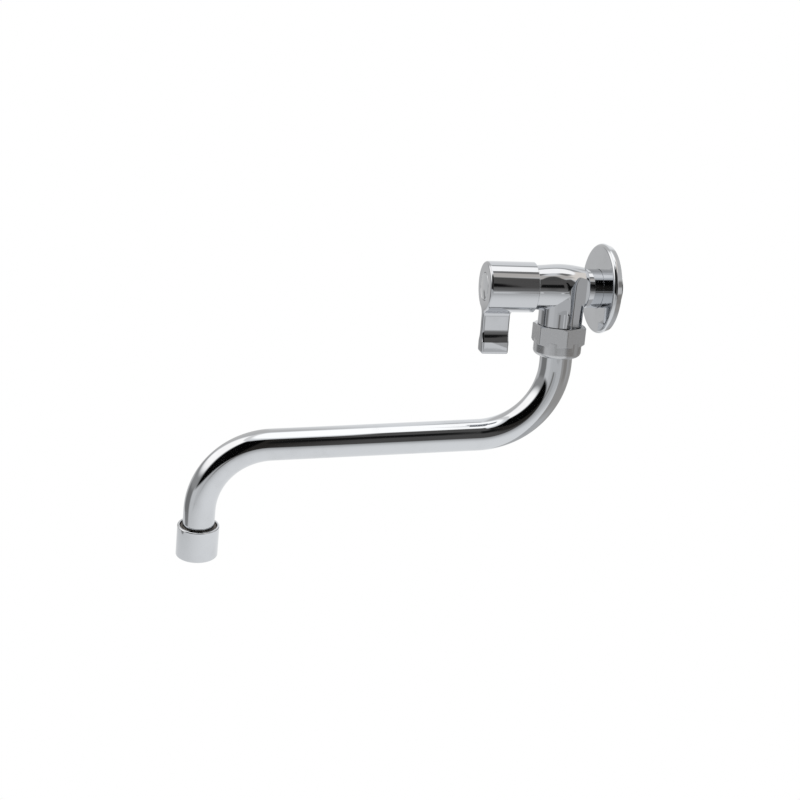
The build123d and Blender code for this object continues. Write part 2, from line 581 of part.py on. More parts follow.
def index_cap():
    """Plain domed cap in the handle's face."""
    dome_r = INDEX_R - INDEX_CHAMFER
    bow_r = (dome_r ** 2 + INDEX_DOME ** 2) / (2 * INDEX_DOME)
    edge, top = -HANDLE_FRONT_OUT, -HANDLE_FRONT_OUT - INDEX_DOME
    middle_r = dome_r / 2
    middle = top + bow_r - (bow_r ** 2 - middle_r ** 2) ** 0.5
    edges = [
        Polyline((0, top), (0, -INDEX_SEAT_OUT), (INDEX_R, -INDEX_SEAT_OUT), (INDEX_R, edge + INDEX_CHAMFER),
                 (dome_r, edge)),
        ThreePointArc((dome_r, edge), (middle_r, middle), (0, top)),
    ]
    return revolve(make_face(edges), Axis.Y)


# ---- spout joint -----------------------------------------------------------------------------------------
def spout_nut():
    """Hexagon nut with a round collar that holds the spout on the branch."""
    outline = Rot(0, 0, NUT_HEX_TURN) * RegularPolygon(NUT_HEX / 2, 6, major_radius=False)
    hexagon = Pos(0, -BRANCH_OUT, NUT_HEX_END_Z) * extrude(outline, NUT_HEX_HEIGHT)
    corner_r = NUT_HEX / 2 / cos(pi / 6)
    turned = bar_down(corner_r, NUT_TOP_Z, NUT_HEX_END_Z)
    turned = chamfer(turned.edges().filter_by(GeomType.CIRCLE), length=0.5, length2=1.0)
    collar = bar_down(NUT_COLLAR_R, NUT_HEX_END_Z + 1, NUT_END_Z)
    collar = fillet(collar.edges().group_by(Axis.Z)[0], NUT_COLLAR_ROUND)
    solid = (hexagon & turned) + collar
    solid -= bar_down(NUT_BORE_R, NUT_TOP_Z, NUT_LIP_Z)
    return solid - bar_down(TUBE_R + LOOSE_FIT, NUT_LIP_Z, NUT_END_Z)


def spout_packing():
    """Rubber cup packing under the branch, with a lip groove on the water side."""
    inner = TUBE_R + RUNNING_FIT
    ring = ring_down(PACKING_R, inner, BRANCH_END_Z, SLIP_RING_Z)
    middle = (inner + PACKING_R) / 2
    groove = ring_down(middle + 0.4, middle - 0.4, BRANCH_END_Z, BRANCH_END_Z - PACKING_HEIGHT / 2)
    return ring - groove


def spout_slip_ring():
    """Plastic ring that the spout's collar turns against."""
    return ring_down(PACKING_R, TUBE_R + RUNNING_FIT, SLIP_RING_Z, SLIP_RING_Z - SLIP_RING_HEIGHT)


# ---- spout -----------------------------------------------------------------------------------------------
def spout_path():
    """Centreline of the tube in the plane of the branch axis, and its points (out, z)."""
    slope, lean = radians(RUN_SLOPE), radians(TIP_LEAN)
    run_dir = Vector(0, -cos(slope), -sin(slope))
    tip_dir = Vector(0, -sin(lean), -cos(lean))
    start = Vector(0, -BRANCH_OUT, TUBE_TOP_Z)
    bend_start = Vector(0, -BRANCH_OUT, FIRST_BEND_Z)
    first_centre = bend_start + Vector(0, -FIRST_BEND_R, 0)
    first_arc = arc_in_plane(first_centre, FIRST_BEND_R, 0, RUN_SLOPE - 90)
    run_start = first_arc @ 1
    run_end = run_start + run_dir * RUN_LENGTH
    down = Vector(0, sin(slope), -cos(slope))
    second_centre = run_end + down * SECOND_BEND_R
    second_arc = arc_in_plane(second_centre, SECOND_BEND_R, 90 + RUN_SLOPE, 180 - TIP_LEAN)
    tip_start = second_arc @ 1
    rim = tip_start + tip_dir * TIP_STRAIGHT
    end = rim + tip_dir * SLEEVE_END
    path = Wire([
        Edge.make_line(start, bend_start), first_arc, Edge.make_line(run_start, run_end), second_arc,
        Edge.make_line(tip_start, end),
    ])
    return path, rim, tip_dir


def arc_in_plane(centre, radius, start, end):
    """An arc in the plane of the branch axis. Angles are degrees from +Y towards +Z."""
    def point(angle):
        return centre + Vector(0, radius * cos(radians(angle)), radius * sin(radians(angle)))
    return Edge.make_three_point_arc(point(start), point((start + end) / 2), point(end))


def swept_tube(radius):
    """A round bar along the spout's centreline."""
    path = spout_path()[0]
    section = Plane(origin=path @ 0, z_dir=path % 0) * Circle(radius)
    return sweep(section, path=path)


def spout_tube():
    """Bent tube, open at both ends."""
    return along_spout(swept_tube(TUBE_R) - swept_tube(TUBE_BORE_R))


def spout_collar():
    """Ring brazed on the tube, held between the slip ring and the nut's lip."""
    return ring_down(PACKING_R, TUBE_R, COLLAR_Z, COLLAR_Z - COLLAR_HEIGHT)


# ---- outlet, built on the tip's own axis: distances run down from the rim of the cap ----------------------
def tip_bar(radius, top, bottom):
    """A round bar on the tip's axis between two distances below the rim."""
    return Pos(0, 0, (top + bottom) / 2) * Cylinder(radius, bottom - top)


def tip_ring(outer, inner, top, bottom):
    """A ring on the tip's axis."""
    return tip_bar(outer, top, bottom) - tip_bar(inner, top, bottom)


def at_tip(part):
    """Carries an outlet piece from the tip's own axis to the end of the spout."""
    path, rim, tip_dir = spout_path()
    frame = Plane(origin=rim, x_dir=(1, 0, 0), z_dir=tip_dir)
    return along_spout(frame.location * part)


def tip_sleeve():
    """Threaded sleeve brazed on the tube's end."""
    return at_tip(tip_ring(SLEEVE_R, TUBE_R, SLEEVE_RECESS, SLEEVE_END))


def aerator_cap():
    """Round cap that screws on the sleeve and holds the insert."""
    solid = fillet(tip_bar(CAP_R, 0, CAP_LENGTH).edges().filter_by(GeomType.CIRCLE), CAP_EDGE_R)
    solid -= tip_bar(CAP_R - CAP_WALL, 0, FLANGE_END)
    solid -= tip_bar(INSERT_R + LOOSE_FIT, FLANGE_END, CAP_LENGTH)
    return at_tip(solid)


def aerator_washer():
    """Rubber washer between the sleeve and the insert."""
    return at_tip(tip_ring(SLEEVE_R, INSERT_BORE_R - 1, SLEEVE_END, WASHER_END))


def aerator_insert():
    """Plastic insert with a flange on top and a square grid at the outlet."""
    solid = tip_bar(SLEEVE_R, WASHER_END, FLANGE_END) + tip_bar(INSERT_R, FLANGE_END, INSERT_END)
    solid -= tip_bar(INSERT_BORE_R, WASHER_END, INSERT_END)
    half_count = int(INSERT_BORE_R / GRID_PITCH)
    height = INSERT_END - GRID_TOP
    middle = GRID_TOP + height / 2
    grid = None
    for step in range(-half_count, half_count + 1):
        at = step * GRID_PITCH
        along_x = Pos(0, at, middle) * Box(2 * INSERT_R, GRID_RIB, height)
        along_y = Pos(at, 0, middle) * Box(GRID_RIB, 2 * INSERT_R, height)
        grid = along_x + along_y if grid is None else grid + along_x + along_y
    grid &= tip_bar((INSERT_R + INSERT_BORE_R) / 2, GRID_TOP, INSERT_END)
    return at_tip(solid + grid)


def jet_plate():
    """Perforated plate on top of the screens."""
    plate = tip_bar(INSERT_BORE_R - RUNNING_FIT, WASHER_END, SCREENS_TOP)
    for hole in range(JET_HOLES):
        angle = 2 * pi * hole / JET_HOLES
        place = Pos(JET_CIRCLE_R * cos(angle), JET_CIRCLE_R * sin(angle), (WASHER_END + SCREENS_TOP) / 2)
        plate -= place * Cylinder(JET_HOLE_R, 2 * JET_PLATE_THICKNESS)
    return at_tip(plate)


def aerator_screens():
    """Stack of mesh screens, each a thin disc with square holes."""
    half_count = int(INSERT_BORE_R / SCREEN_PITCH)
    screens = [at_tip(screen(SCREENS_TOP + number * SCREEN_STEP, half_count)) for number in range(SCREENS)]
    return Compound(children=screens)


def screen(top, half_count):
    """One mesh screen with a standing rim that spaces it from the next."""
    radius = INSERT_BORE_R - RUNNING_FIT
    disc = tip_bar(radius, top, top + SCREEN_THICKNESS)
    holes = []
    for i in range(-half_count, half_count + 1):
        for j in range(-half_count, half_count + 1):
            x, y = i * SCREEN_PITCH, j * SCREEN_PITCH
            if (x * x + y * y) ** 0.5 + SCREEN_HOLE < radius - 0.6:
                place = Pos(x, y, top + SCREEN_THICKNESS / 2)
                holes.append(place * Box(SCREEN_HOLE, SCREEN_HOLE, 2 * SCREEN_THICKNESS))
    rim = tip_ring(radius, radius - 0.5, top + SCREEN_THICKNESS, top + SCREEN_STEP)
    return disc - holes + rim


PIECES = {
    "wall_flange": wall_flange,
    "valve_body": valve_body,
    "cartridge_housing": cartridge_housing,
    "cartridge_o_ring": cartridge_o_ring,
    "seat_seal": seat_seal,
    "fixed_disc": fixed_disc,
    "moving_disc": moving_disc,
    "spindle": spindle,
    "spindle_o_rings": spindle_o_rings,
    "spindle_clip": spindle_clip,
    "slide_washer": slide_washer,
    "handle": handle,
    "spline_bush": spline_bush,
    "handle_screw": handle_screw,
    "index_cap": index_cap,
    "spout_nut": spout_nut,
    "spout_packing": spout_packing,
    "spout_slip_ring": spout_slip_ring,
    "spout_tube": spout_tube,
    "spout_collar": spout_collar,
    "tip_sleeve": tip_sleeve,
    "aerator_cap": aerator_cap,
    "aerator_washer": aerator_washer,
    "aerator_insert": aerator_insert,
    "jet_plate": jet_plate,
    "aerator_screens": aerator_screens,
}

for name, make in PIECES.items():
    part = make()
    export_step(part, os.path.join("parts", name + ".step"))
    print(f"{name:20s} {part.volume:10.1f} mm3")
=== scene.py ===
# %% [markdown]
# # A chromed wall faucet for a commercial sink
#
# The faucet comes from a CAD model whose solids are the right size and in the right place. Here it gets its
# looks. Chrome has no colour of its own: what the eye reads as chrome is the shape of the reflections, so two
# things matter above all. The surfaces have to be as smooth and as true as the real ones, and the room that
# they mirror has to be laid out like a real studio. The first half of this lesson shapes the pieces, the
# second half polishes and lights them.

import math

import bmesh
import bpy
from mathutils import Matrix, Vector


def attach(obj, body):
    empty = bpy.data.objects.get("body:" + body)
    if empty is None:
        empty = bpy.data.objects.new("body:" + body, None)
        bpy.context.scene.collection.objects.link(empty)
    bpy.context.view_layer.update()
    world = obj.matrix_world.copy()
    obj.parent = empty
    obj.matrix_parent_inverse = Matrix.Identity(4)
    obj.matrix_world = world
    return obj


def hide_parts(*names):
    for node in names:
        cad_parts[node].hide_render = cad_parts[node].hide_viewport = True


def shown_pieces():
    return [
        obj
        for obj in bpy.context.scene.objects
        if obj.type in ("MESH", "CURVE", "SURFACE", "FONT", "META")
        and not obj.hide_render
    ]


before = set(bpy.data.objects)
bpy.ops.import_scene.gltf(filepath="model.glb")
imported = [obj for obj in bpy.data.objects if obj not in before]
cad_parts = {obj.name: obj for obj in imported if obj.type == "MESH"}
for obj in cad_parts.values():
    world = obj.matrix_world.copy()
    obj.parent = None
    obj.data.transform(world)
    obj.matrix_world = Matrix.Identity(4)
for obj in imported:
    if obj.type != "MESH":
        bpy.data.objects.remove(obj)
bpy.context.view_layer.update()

# %% [markdown]
# ## Sizes
#
# The CAD frame has its origin in the middle of the flange's back, with -Y out of the wall and +Z up. Lengths
# on the inlet axis are given as a distance out from the wall. All of them are the CAD model's own sizes, in
# millimetres.

# %% Sizes shared by several pieces
MM = 0.001
QUARTER = math.radians(90)
BRANCH_OUT = 24.0
NECK_R = 10.6
NECK_FRONT = 12.6
HANDLE_R = 13.65
HANDLE_BACK_OUT = 41.5
HANDLE_FRONT_OUT = 68.3
LEVER_BACK_OUT = 53.2
TUBE_R = 9.0
CAP_R = 11.9
REST_SWING = -5.94


# %% [markdown]
# ## Working by hand
#
# Most parts of a faucet are turned on a lathe: a flat outline is swept round an axis. Blender's Spin does the
# same to a row of points. These helpers draw the row, round its corners as the maker's drawing would, and
# spin it.

# %% Helpers: choose, edit, select
def choose(piece):
    """Makes one object the only selected and the active one."""
    bpy.ops.object.select_all(action="DESELECT")
    piece.select_set(True)
    bpy.context.view_layer.objects.active = piece


def edit(piece, kind="VERT"):
    """Opens a piece in edit mode with nothing selected."""
    choose(piece)
    bpy.ops.object.mode_set(mode="EDIT")
    bpy.ops.mesh.select_mode(type=kind)
    bpy.ops.mesh.select_all(action="DESELECT")


def edit_all(piece):
    """Opens a piece in edit mode with all of it selected."""
    edit(piece)
    bpy.ops.mesh.select_all(action="SELECT")


def leave():
    """Goes back to object mode."""
    bpy.ops.object.mode_set(mode="OBJECT")


def bevel(radius, segments):
    """Breaks or rounds the selected edges and goes back to object mode."""
    bpy.ops.mesh.bevel(offset=radius * MM, segments=segments, profile=0.5)
    leave()


def select_where(piece, test, kind="VERT"):
    """Selects the points, or the edges whose two ends, pass a test of their place, and stays in edit mode."""
    edit(piece, kind)
    leave()
    points = piece.data.vertices
    if kind == "VERT":
        for point in points:
            point.select = test(point.co)
    else:
        for line in piece.data.edges:
            line.select = all(test(points[end].co) for end in line.vertices)
    bpy.ops.object.mode_set(mode="EDIT")


# %% Helpers: clean, place, modify, polish
def volume(piece):
    """The signed volume of a closed piece in cubic millimetres, negative when its faces look inwards."""
    shape = bmesh.new()
    shape.from_mesh(piece.data)
    amount = shape.calc_volume(signed=True) / MM**3
    shape.free()
    return amount


def clean(piece):
    """Merges doubled points and turns every face outwards."""
    edit_all(piece)
    bpy.ops.mesh.remove_doubles(threshold=1e-6)
    bpy.ops.mesh.normals_make_consistent(inside=False)
    leave()
    if volume(piece) < 0:
        edit_all(piece)
        bpy.ops.mesh.flip_normals()
        leave()
    return piece


def place(piece, matrix):
    """Moves a piece and writes the move into its mesh, so that the object stays at the origin."""
    choose(piece)
    piece.matrix_world = matrix @ piece.matrix_world
    bpy.ops.object.transform_apply(location=True, rotation=True, scale=True)
    return piece


def modify(piece, kind, **settings):
    """Adds a modifier with its settings to a piece and applies it."""
    choose(piece)
    bpy.ops.object.modifier_add(type=kind)
    modifier = piece.modifiers[-1]
    for name, value in settings.items():
        setattr(modifier, name, value)
    bpy.ops.object.modifier_apply(modifier=modifier.name)


def polish(piece, angle=30.0):
    """Shades a piece smooth up to an angle and keeps its flat faces flat."""
    choose(piece)
    bpy.ops.object.shade_smooth_by_angle(angle=math.radians(angle))
    modify(piece, "WEIGHTED_NORMAL", keep_sharp=True, weight=50)
    return piece


# %% Helpers: draw an outline and turn it
def rounded(corners, arc_steps=8):
    """Replaces each (across, along, radius) corner of an outline by an arc of that radius."""
    points = []
    count = len(corners)
    for index, corner in enumerate(corners):
        radius = corner[2] if len(corner) > 2 else 0
        here = Vector(corner[:2])
        if not radius or index in (0, count - 1):
            points.append(here)
            continue
        before = (Vector(corners[index - 1][:2]) - here).normalized()
        after = (Vector(corners[index + 1][:2]) - here).normalized()
        half = before.angle(after) / 2
        centre = here + (before + after).normalized() * radius / math.sin(half)
        start = here + before * radius / math.tan(half) - centre
        end = here + after * radius / math.tan(half) - centre
        for step in range(arc_steps + 1):
            turn = Matrix.Rotation(-start.angle_signed(end) * step / arc_steps, 2)
            points.append(centre + turn @ start)
    return points


def draw(name, start, steps):
    """Draws a row of points by extruding a first one along the steps, in metres, and stays in edit mode."""
    bpy.ops.object.select_all(action="DESELECT")
    bpy.ops.mesh.primitive_plane_add(size=MM, location=start)
    row = bpy.context.object
    row.name = row.data.name = name
    bpy.ops.object.transform_apply(location=True)
    bpy.ops.object.mode_set(mode="EDIT")
    bpy.ops.mesh.select_mode(type="VERT")
    bpy.ops.mesh.select_all(action="SELECT")
    bpy.ops.mesh.merge(type="CENTER")
    for step in steps:
        bpy.ops.mesh.extrude_vertices_move(TRANSFORM_OT_translate={"value": step})
    return row


def turned(name, outline, steps=160):
    """Spins an outline of (radius, height) points round the Z axis. The last point may repeat the first."""
    moves = [((there[0] - here[0]) * MM, 0, (there[1] - here[1]) * MM)
             for here, there in zip(outline, outline[1:])]
    piece = draw(name, (outline[0][0] * MM, 0, outline[0][1] * MM), moves)
    bpy.ops.mesh.select_all(action="SELECT")
    bpy.ops.mesh.spin(steps=steps, angle=2 * math.pi, center=(0, 0, 0), axis=(0, 0, 1))
    leave()
    return clean(piece)


def turned_out(name, outline, steps=160):
    """A turned piece on the inlet axis, from its (radius, out) outline."""
    return place(turned(name, outline, steps), Matrix.Rotation(QUARTER, 4, "X"))


# %% Helpers: bars and blocks, joining and cutting, and the last step of each piece
def bar(radius, length, middle, direction="Z"):
    """A plain round bar, used as a cutter."""
    turn = {"Y": (QUARTER, 0, 0), "Z": (0, 0, 0)}[direction]
    bpy.ops.object.select_all(action="DESELECT")
    bpy.ops.mesh.primitive_cylinder_add(
        vertices=160, radius=radius * MM, depth=length * MM, location=[c * MM for c in middle], rotation=turn)
    bpy.ops.object.transform_apply(location=True, rotation=True, scale=True)
    return bpy.context.object


def block(size, middle):
    """A plain box, used as a cutter or as a rib."""
    bpy.ops.object.select_all(action="DESELECT")
    bpy.ops.mesh.primitive_cube_add(size=1, location=[c * MM for c in middle])
    made = bpy.context.object
    made.scale = [c * MM for c in size]
    bpy.ops.object.transform_apply(location=True, rotation=True, scale=True)
    return made


def combine(piece, other, how):
    """Joins, cuts or intersects a piece with another, which is used up."""
    modify(piece, "BOOLEAN", object=other, operation=how, solver="EXACT")
    bpy.data.objects.remove(other)


def finish_piece(piece, body, node):
    """Ties a piece to its CAD body, hides the CAD node it stands for and prints its size."""
    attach(piece, body)
    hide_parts(node)
    size = [round(side / MM, 1) for side in piece.dimensions]
    print(f"{piece.name}: {len(piece.data.polygons)} faces, {size} mm")


# %% [markdown]
# ## The wall flange
#
# The cover plate is pressed from sheet: a flat front, a rounded shoulder, a rim that leans in towards the
# wall, and an open back with a short hub that centres it on the neck. Its whole outline is one closed row of
# points, spun once.

# %% Turn the flange
FLANGE_R = 24.5
FLANGE_DEPTH = 4.85
FLANGE_SHEET = 1.0
FLANGE_HUB_WALL = 1.2
FLANGE_HUB_BACK = 1.25
HOLE_R = NECK_R + 0.15
SHOULDER_R = 1.8
RIM_LEAN = math.radians(19)
touch_r = FLANGE_R - SHOULDER_R + SHOULDER_R * math.cos(RIM_LEAN)
touch_out = FLANGE_DEPTH - SHOULDER_R * (1 + math.sin(RIM_LEAN))
front_r = touch_r + (FLANGE_DEPTH - touch_out) * math.tan(RIM_LEAN)
wall_r = touch_r - touch_out * math.tan(RIM_LEAN)
hub_r = HOLE_R + FLANGE_HUB_WALL
inner_face = FLANGE_DEPTH - FLANGE_SHEET
flange_outline = rounded([
    (HOLE_R, FLANGE_HUB_BACK), (HOLE_R, FLANGE_DEPTH, 0.12), (front_r, FLANGE_DEPTH, SHOULDER_R),
    (wall_r, 0, 0.25), (wall_r - FLANGE_SHEET, 0, 0.1),
    (FLANGE_R - FLANGE_SHEET, FLANGE_DEPTH - SHOULDER_R, 0.6), (FLANGE_R - SHOULDER_R, inner_face, 0.6),
    (hub_r, inner_face, 0.4), (hub_r, FLANGE_HUB_BACK, 0.1),
    (HOLE_R, FLANGE_HUB_BACK),
], 14)
wall_flange = polish(turned_out("wall_flange_polished", flange_outline, 192))
finish_piece(wall_flange, "fixed_body", "wall_flange")

# %% [markdown]
# ## The valve body
#
# The body is a hot forging, ground and polished before it is plated. A crowned barrel lies on the inlet axis,
# a branch of nearly the same width hangs from it, and where the two meet the grinder leaves a crisp mitre
# below and a soft shoulder above. Two flats give a wrench its hold: each is round at the top, runs straight
# down to the nut, and turns up into the barrel through a hollow root and a round shoulder. The barrel and the
# branch are turned pieces, so they are spun and joined, and the flats and bores are cut as a mill and a drill
# would cut them.

# %% Turn the barrel and the branch
PEAK_OUT = 26.6
PEAK_R = 12.9


def swell(out):
    """The barrel's radius at a distance out. Both sides share one curvature at the peak, so no line shows."""
    fall, reach = (4.0, 31.65) if out < PEAK_OUT else (0.85, 14.6)
    return PEAK_R - fall * math.sin(math.pi / 2 * abs(out - PEAK_OUT) / reach) ** 2


THREAD_R = 10.478
THREAD_ROOT_R = 9.316
THREAD_START, THREAD_END = -0.4, -5.2
THREAD_PITCH = 1.55
GROOVE_DEPTH, GROOVE_HALF = 0.95, 0.62
INLET_END, INLET_CHAMFER = -6.2, 0.6
NECK_BACK = 1.2
SWELL_START, SWELL_LENGTH, SWELL_STEPS = 13.4, 27.6, 40
BARREL_FRONT_R, BARREL_FRONT, BARREL_EDGE = 12.05, 41.2, 0.15
BARREL_SPIGOT_R, BARREL_SPIGOT_END = 11.3, 44.0

barrel_outline = [(0, INLET_END), (THREAD_R - INLET_CHAMFER, INLET_END), (THREAD_R, INLET_END + INLET_CHAMFER)]
for ridge in range(3):
    groove = THREAD_END + THREAD_PITCH * ridge
    barrel_outline += [
        (THREAD_R, groove), (THREAD_R - GROOVE_DEPTH, groove + GROOVE_HALF),
        (THREAD_R, groove + 2 * GROOVE_HALF)]
barrel_outline += [
    (THREAD_R, THREAD_START), (THREAD_ROOT_R, THREAD_START), (THREAD_ROOT_R, NECK_BACK), (NECK_R, NECK_BACK),
    (NECK_R, NECK_FRONT)]
for step in range(SWELL_STEPS + 1):
    out = SWELL_START + SWELL_LENGTH * step / SWELL_STEPS
    barrel_outline.append((swell(out), out))
barrel_outline += [
    (BARREL_FRONT_R, BARREL_FRONT - BARREL_EDGE), (BARREL_FRONT_R - BARREL_EDGE, BARREL_FRONT),
    (BARREL_SPIGOT_R, BARREL_FRONT), (BARREL_SPIGOT_R, BARREL_SPIGOT_END), (0, BARREL_SPIGOT_END)]
valve_body = turned_out("valve_body_polished", barrel_outline, 192)

BRANCH_R = 12.1
BRANCH_TAPER, BRANCH_TAPER_LENGTH = 0.6, 13.0
BRANCH_SHOULDER, BRANCH_EDGE = -20.0, 0.1
BRANCH_SPIGOT_R, BRANCH_END = 11.4, -26.0
branch_outline = [(0, 0), (BRANCH_R + BRANCH_TAPER, 0)]
for step in range(1, 12):
    share = step / 12
    ease = 3 * share**2 - 2 * share**3
    branch_outline.append((BRANCH_R + BRANCH_TAPER - BRANCH_TAPER * ease, -BRANCH_TAPER_LENGTH * share))
branch_outline += [
    (BRANCH_R, -BRANCH_TAPER_LENGTH), (BRANCH_R, BRANCH_SHOULDER + BRANCH_EDGE),
    (BRANCH_R - BRANCH_EDGE, BRANCH_SHOULDER), (BRANCH_SPIGOT_R, BRANCH_SHOULDER),
    (BRANCH_SPIGOT_R, BRANCH_END), (0, BRANCH_END)]
BRANCH_AXIS = Matrix.Translation((0, -BRANCH_OUT * MM, 0))
combine(valve_body, place(turned("branch", branch_outline, 192), BRANCH_AXIS), "UNION")

# %% Cut the wrench flats
FLAT_HALF = 9.5
FLAT_OUT = 10.1
FLAT_RISE = 1.8
FLAT_R = 9.8
FLAT_RUN = 30
FLAT_RAMP = 1.6
ROOT_OF_FLAT = 2.2
SHOULDER_OF_FLAT = 3.7
HAIR = 0.01  # keeps two cuts from sharing a plane, and a limit from running through points
drop = PEAK_R - FLAT_HALF
steepest = math.acos(1 - drop / (ROOT_OF_FLAT + SHOULDER_OF_FLAT))
rim = FLAT_R + (ROOT_OF_FLAT + SHOULDER_OF_FLAT) * math.sin(steepest)
cutter_outline = [(0, FLAT_HALF), (FLAT_R, FLAT_HALF)]
for step in range(1, 11):
    angle = steepest * step / 10
    across = FLAT_R + ROOT_OF_FLAT * math.sin(angle)
    cutter_outline.append((across, FLAT_HALF + ROOT_OF_FLAT * (1 - math.cos(angle))))
for step in range(1, 15):
    angle = steepest * (1 - step / 14)
    across = rim - SHOULDER_OF_FLAT * math.sin(angle)
    cutter_outline.append((across, PEAK_R - SHOULDER_OF_FLAT * (1 - math.cos(angle))))
cutter_outline += [(rim, PEAK_R + drop), (0, PEAK_R + drop)]
for side in (1, -1):
    cutter = turned("flat_cutter", cutter_outline)
    aside = Matrix.Rotation(side * QUARTER, 4, "Y")
    place(cutter, Matrix.Translation((0, -FLAT_OUT * MM, FLAT_RISE * MM)) @ aside)
    # the lower half of the round cutter is pulled down, which stretches its middle into a straight one
    select_where(cutter, lambda co: co.z < (FLAT_RISE - HAIR) * MM)
    bpy.ops.transform.translate(value=(0, 0, -FLAT_RUN * MM))
    leave()
    # a block keeps the part of it that lies beyond the flat and the neck, and its cut edge leaves the ramp
    keep = block((40, 40, 60), (side * (FLAT_HALF + 20 - HAIR), -(NECK_FRONT + 20), 10))
    select_where(keep, lambda co: abs(co.x) < 10 * MM and co.y > -13 * MM, "EDGE")
    bevel(FLAT_RAMP, 1)
    combine(cutter, keep, "INTERSECT")
    combine(valve_body, cutter, "DIFFERENCE")

# %% Drill the water ways
SEAT_OUT = 18.0
CHAMBER_END = 33.0
for radius, start, end in (
        (6.5, INLET_END, 12.0),  # the inlet
        (5.2, 8.0, 20.0),  # the narrow way to the seat
        (9.4, SEAT_OUT, CHAMBER_END),  # the chamber round the valve
        (10.0, CHAMBER_END, 45.0)):  # the bore that the valve screws into
    combine(valve_body, bar(radius, end - start, (0, -(start + end) / 2, 0), "Y"), "DIFFERENCE")
for radius, top, foot in (
        (7.5, -8.6, -20.6),  # the way down the branch
        (TUBE_R + 0.05, -18.5, -28.5)):  # the seat of the tube
    combine(valve_body, bar(radius, top - foot, (0, -BRANCH_OUT, (top + foot) / 2)), "DIFFERENCE")
clean(valve_body)
polish(valve_body, 14.0)
finish_piece(valve_body, "fixed_body", "valve_body")

# %% [markdown]
# ## The handle
#
# Handle and lever are one zinc casting. Seen from the front it is a circle that runs down, through two round
# roots, into a thin waist and out again into a thick lip for the finger. The skirt behind is a plain tube.
# The front outline is drawn once as a row of points, so that round part and lever share their edges and the
# plating shows no seam.

# %% Draw the handle's front outline
WAIST = 2.4
LIP = 4.3
LIP_HEIGHT = 6.7
LIP_CORNER_R = 1.6
FLARE_HEIGHT = 6.6
ROOT_R = 3.4
LEVER_DROP = 36.6


def handle_outline():
    """Points (x, z) of the lever, from the right root's start on the circle to the left root's end."""
    side_x = WAIST + ROOT_R
    root_z = -math.sqrt((HANDLE_R + ROOT_R) ** 2 - side_x**2)
    touch = math.atan2(root_z, side_x)
    lip_top = -LEVER_DROP + LIP_HEIGHT
    right = []
    for step in range(11):
        angle = touch + math.pi + (math.pi - (touch + math.pi)) * step / 10
        right.append((side_x + ROOT_R * math.cos(angle), root_z + ROOT_R * math.sin(angle)))
    step_x = LIP - WAIST
    bow = (FLARE_HEIGHT**2 + step_x**2) / (2 * step_x)
    sweep = math.asin(FLARE_HEIGHT / bow)
    for step in range(13):
        angle = sweep * step / 12
        right.append((WAIST + bow - bow * math.cos(angle), lip_top + FLARE_HEIGHT - bow * math.sin(angle)))
    tail = rounded([right[-1], (LIP, -LEVER_DROP, LIP_CORNER_R), (0, -LEVER_DROP)], 8)
    right += [tuple(p) for p in tail[1:]]
    left = [(-x, z) for x, z in reversed(right[:-1])]
    return right + left, touch


lever_points, root_angle = handle_outline()
print("lever outline:", len(lever_points), "points, roots at", round(math.degrees(root_angle), 1), "degrees")

# %% Build the handle from its outline
BACK_ROUND = 0.3
SKIRT_OUT = HANDLE_BACK_OUT + BACK_ROUND
ARC_STEPS = 120
LOW_STEPS = 20


def add_row(points, name):
    """Draws a row of points (x, z, out from the wall), in millimetres."""
    places = [Vector((x * MM, -out * MM, z * MM)) for x, z, out in points]
    row = draw(name, places[0], [there - here for here, there in zip(places, places[1:])])
    leave()
    return row


def circle_points(start, sweep, steps):
    """Points (x, z) on the handle's circle, from an angle on over a sweep."""
    angles = [start + sweep * step / steps for step in range(steps + 1)]
    return [(HANDLE_R * math.cos(angle), HANDLE_R * math.sin(angle)) for angle in angles]


def at_out(out):
    """A test for points at a distance out from the wall."""
    return lambda co: abs(co.y + out * MM) < 1e-6


def from_axis(co):
    """How far a point lies from the handle's axis."""
    return math.hypot(co.x, co.z) / MM


top_arc = circle_points(root_angle, math.pi - 2 * root_angle, ARC_STEPS)
low_arc = circle_points(math.pi - root_angle, 2 * root_angle + math.pi, LOW_STEPS)[1:-1]
touch_z = top_arc[0][1]
handle = add_row([(x, z, SKIRT_OUT) for x, z in top_arc + low_arc + top_arc[:1]], "handle_polished")
clean(handle)
edit_all(handle)
bpy.ops.mesh.extrude_region_move(
    TRANSFORM_OT_translate={"value": (0, -(LEVER_BACK_OUT - HANDLE_BACK_OUT - BACK_ROUND) * MM, 0)})
leave()

lever = add_row([(x, z, LEVER_BACK_OUT) for x, z in lever_points], "lever_row")
choose(handle)
lever.select_set(True)
bpy.ops.object.join()
clean(handle)
print("handle row:", len(handle.data.vertices), "points")

# %% Close the lever's back, then draw the whole outline forwards
on_back = at_out(LEVER_BACK_OUT)
on_face = at_out(HANDLE_FRONT_OUT)


def on_lever(co):
    """True for points that belong to the lever's own row, its two ends on the circle included."""
    return co.z < (touch_z + 0.001) * MM


def under_lever(co):
    """True for points of the circle between the lever's two roots, which its metal covers."""
    return abs(from_axis(co) - HANDLE_R) < 1e-3 and co.z < (touch_z - 0.01) * MM


select_where(handle, lambda co: on_back(co) and on_lever(co), "EDGE")
bpy.ops.mesh.edge_face_add()
leave()
select_where(handle, lambda co: on_back(co) and not under_lever(co), "EDGE")
bpy.ops.mesh.extrude_region_move(
    TRANSFORM_OT_translate={"value": (0, -(HANDLE_FRONT_OUT - LEVER_BACK_OUT) * MM, 0)})
bpy.ops.mesh.edge_face_add()
leave()
clean(handle)

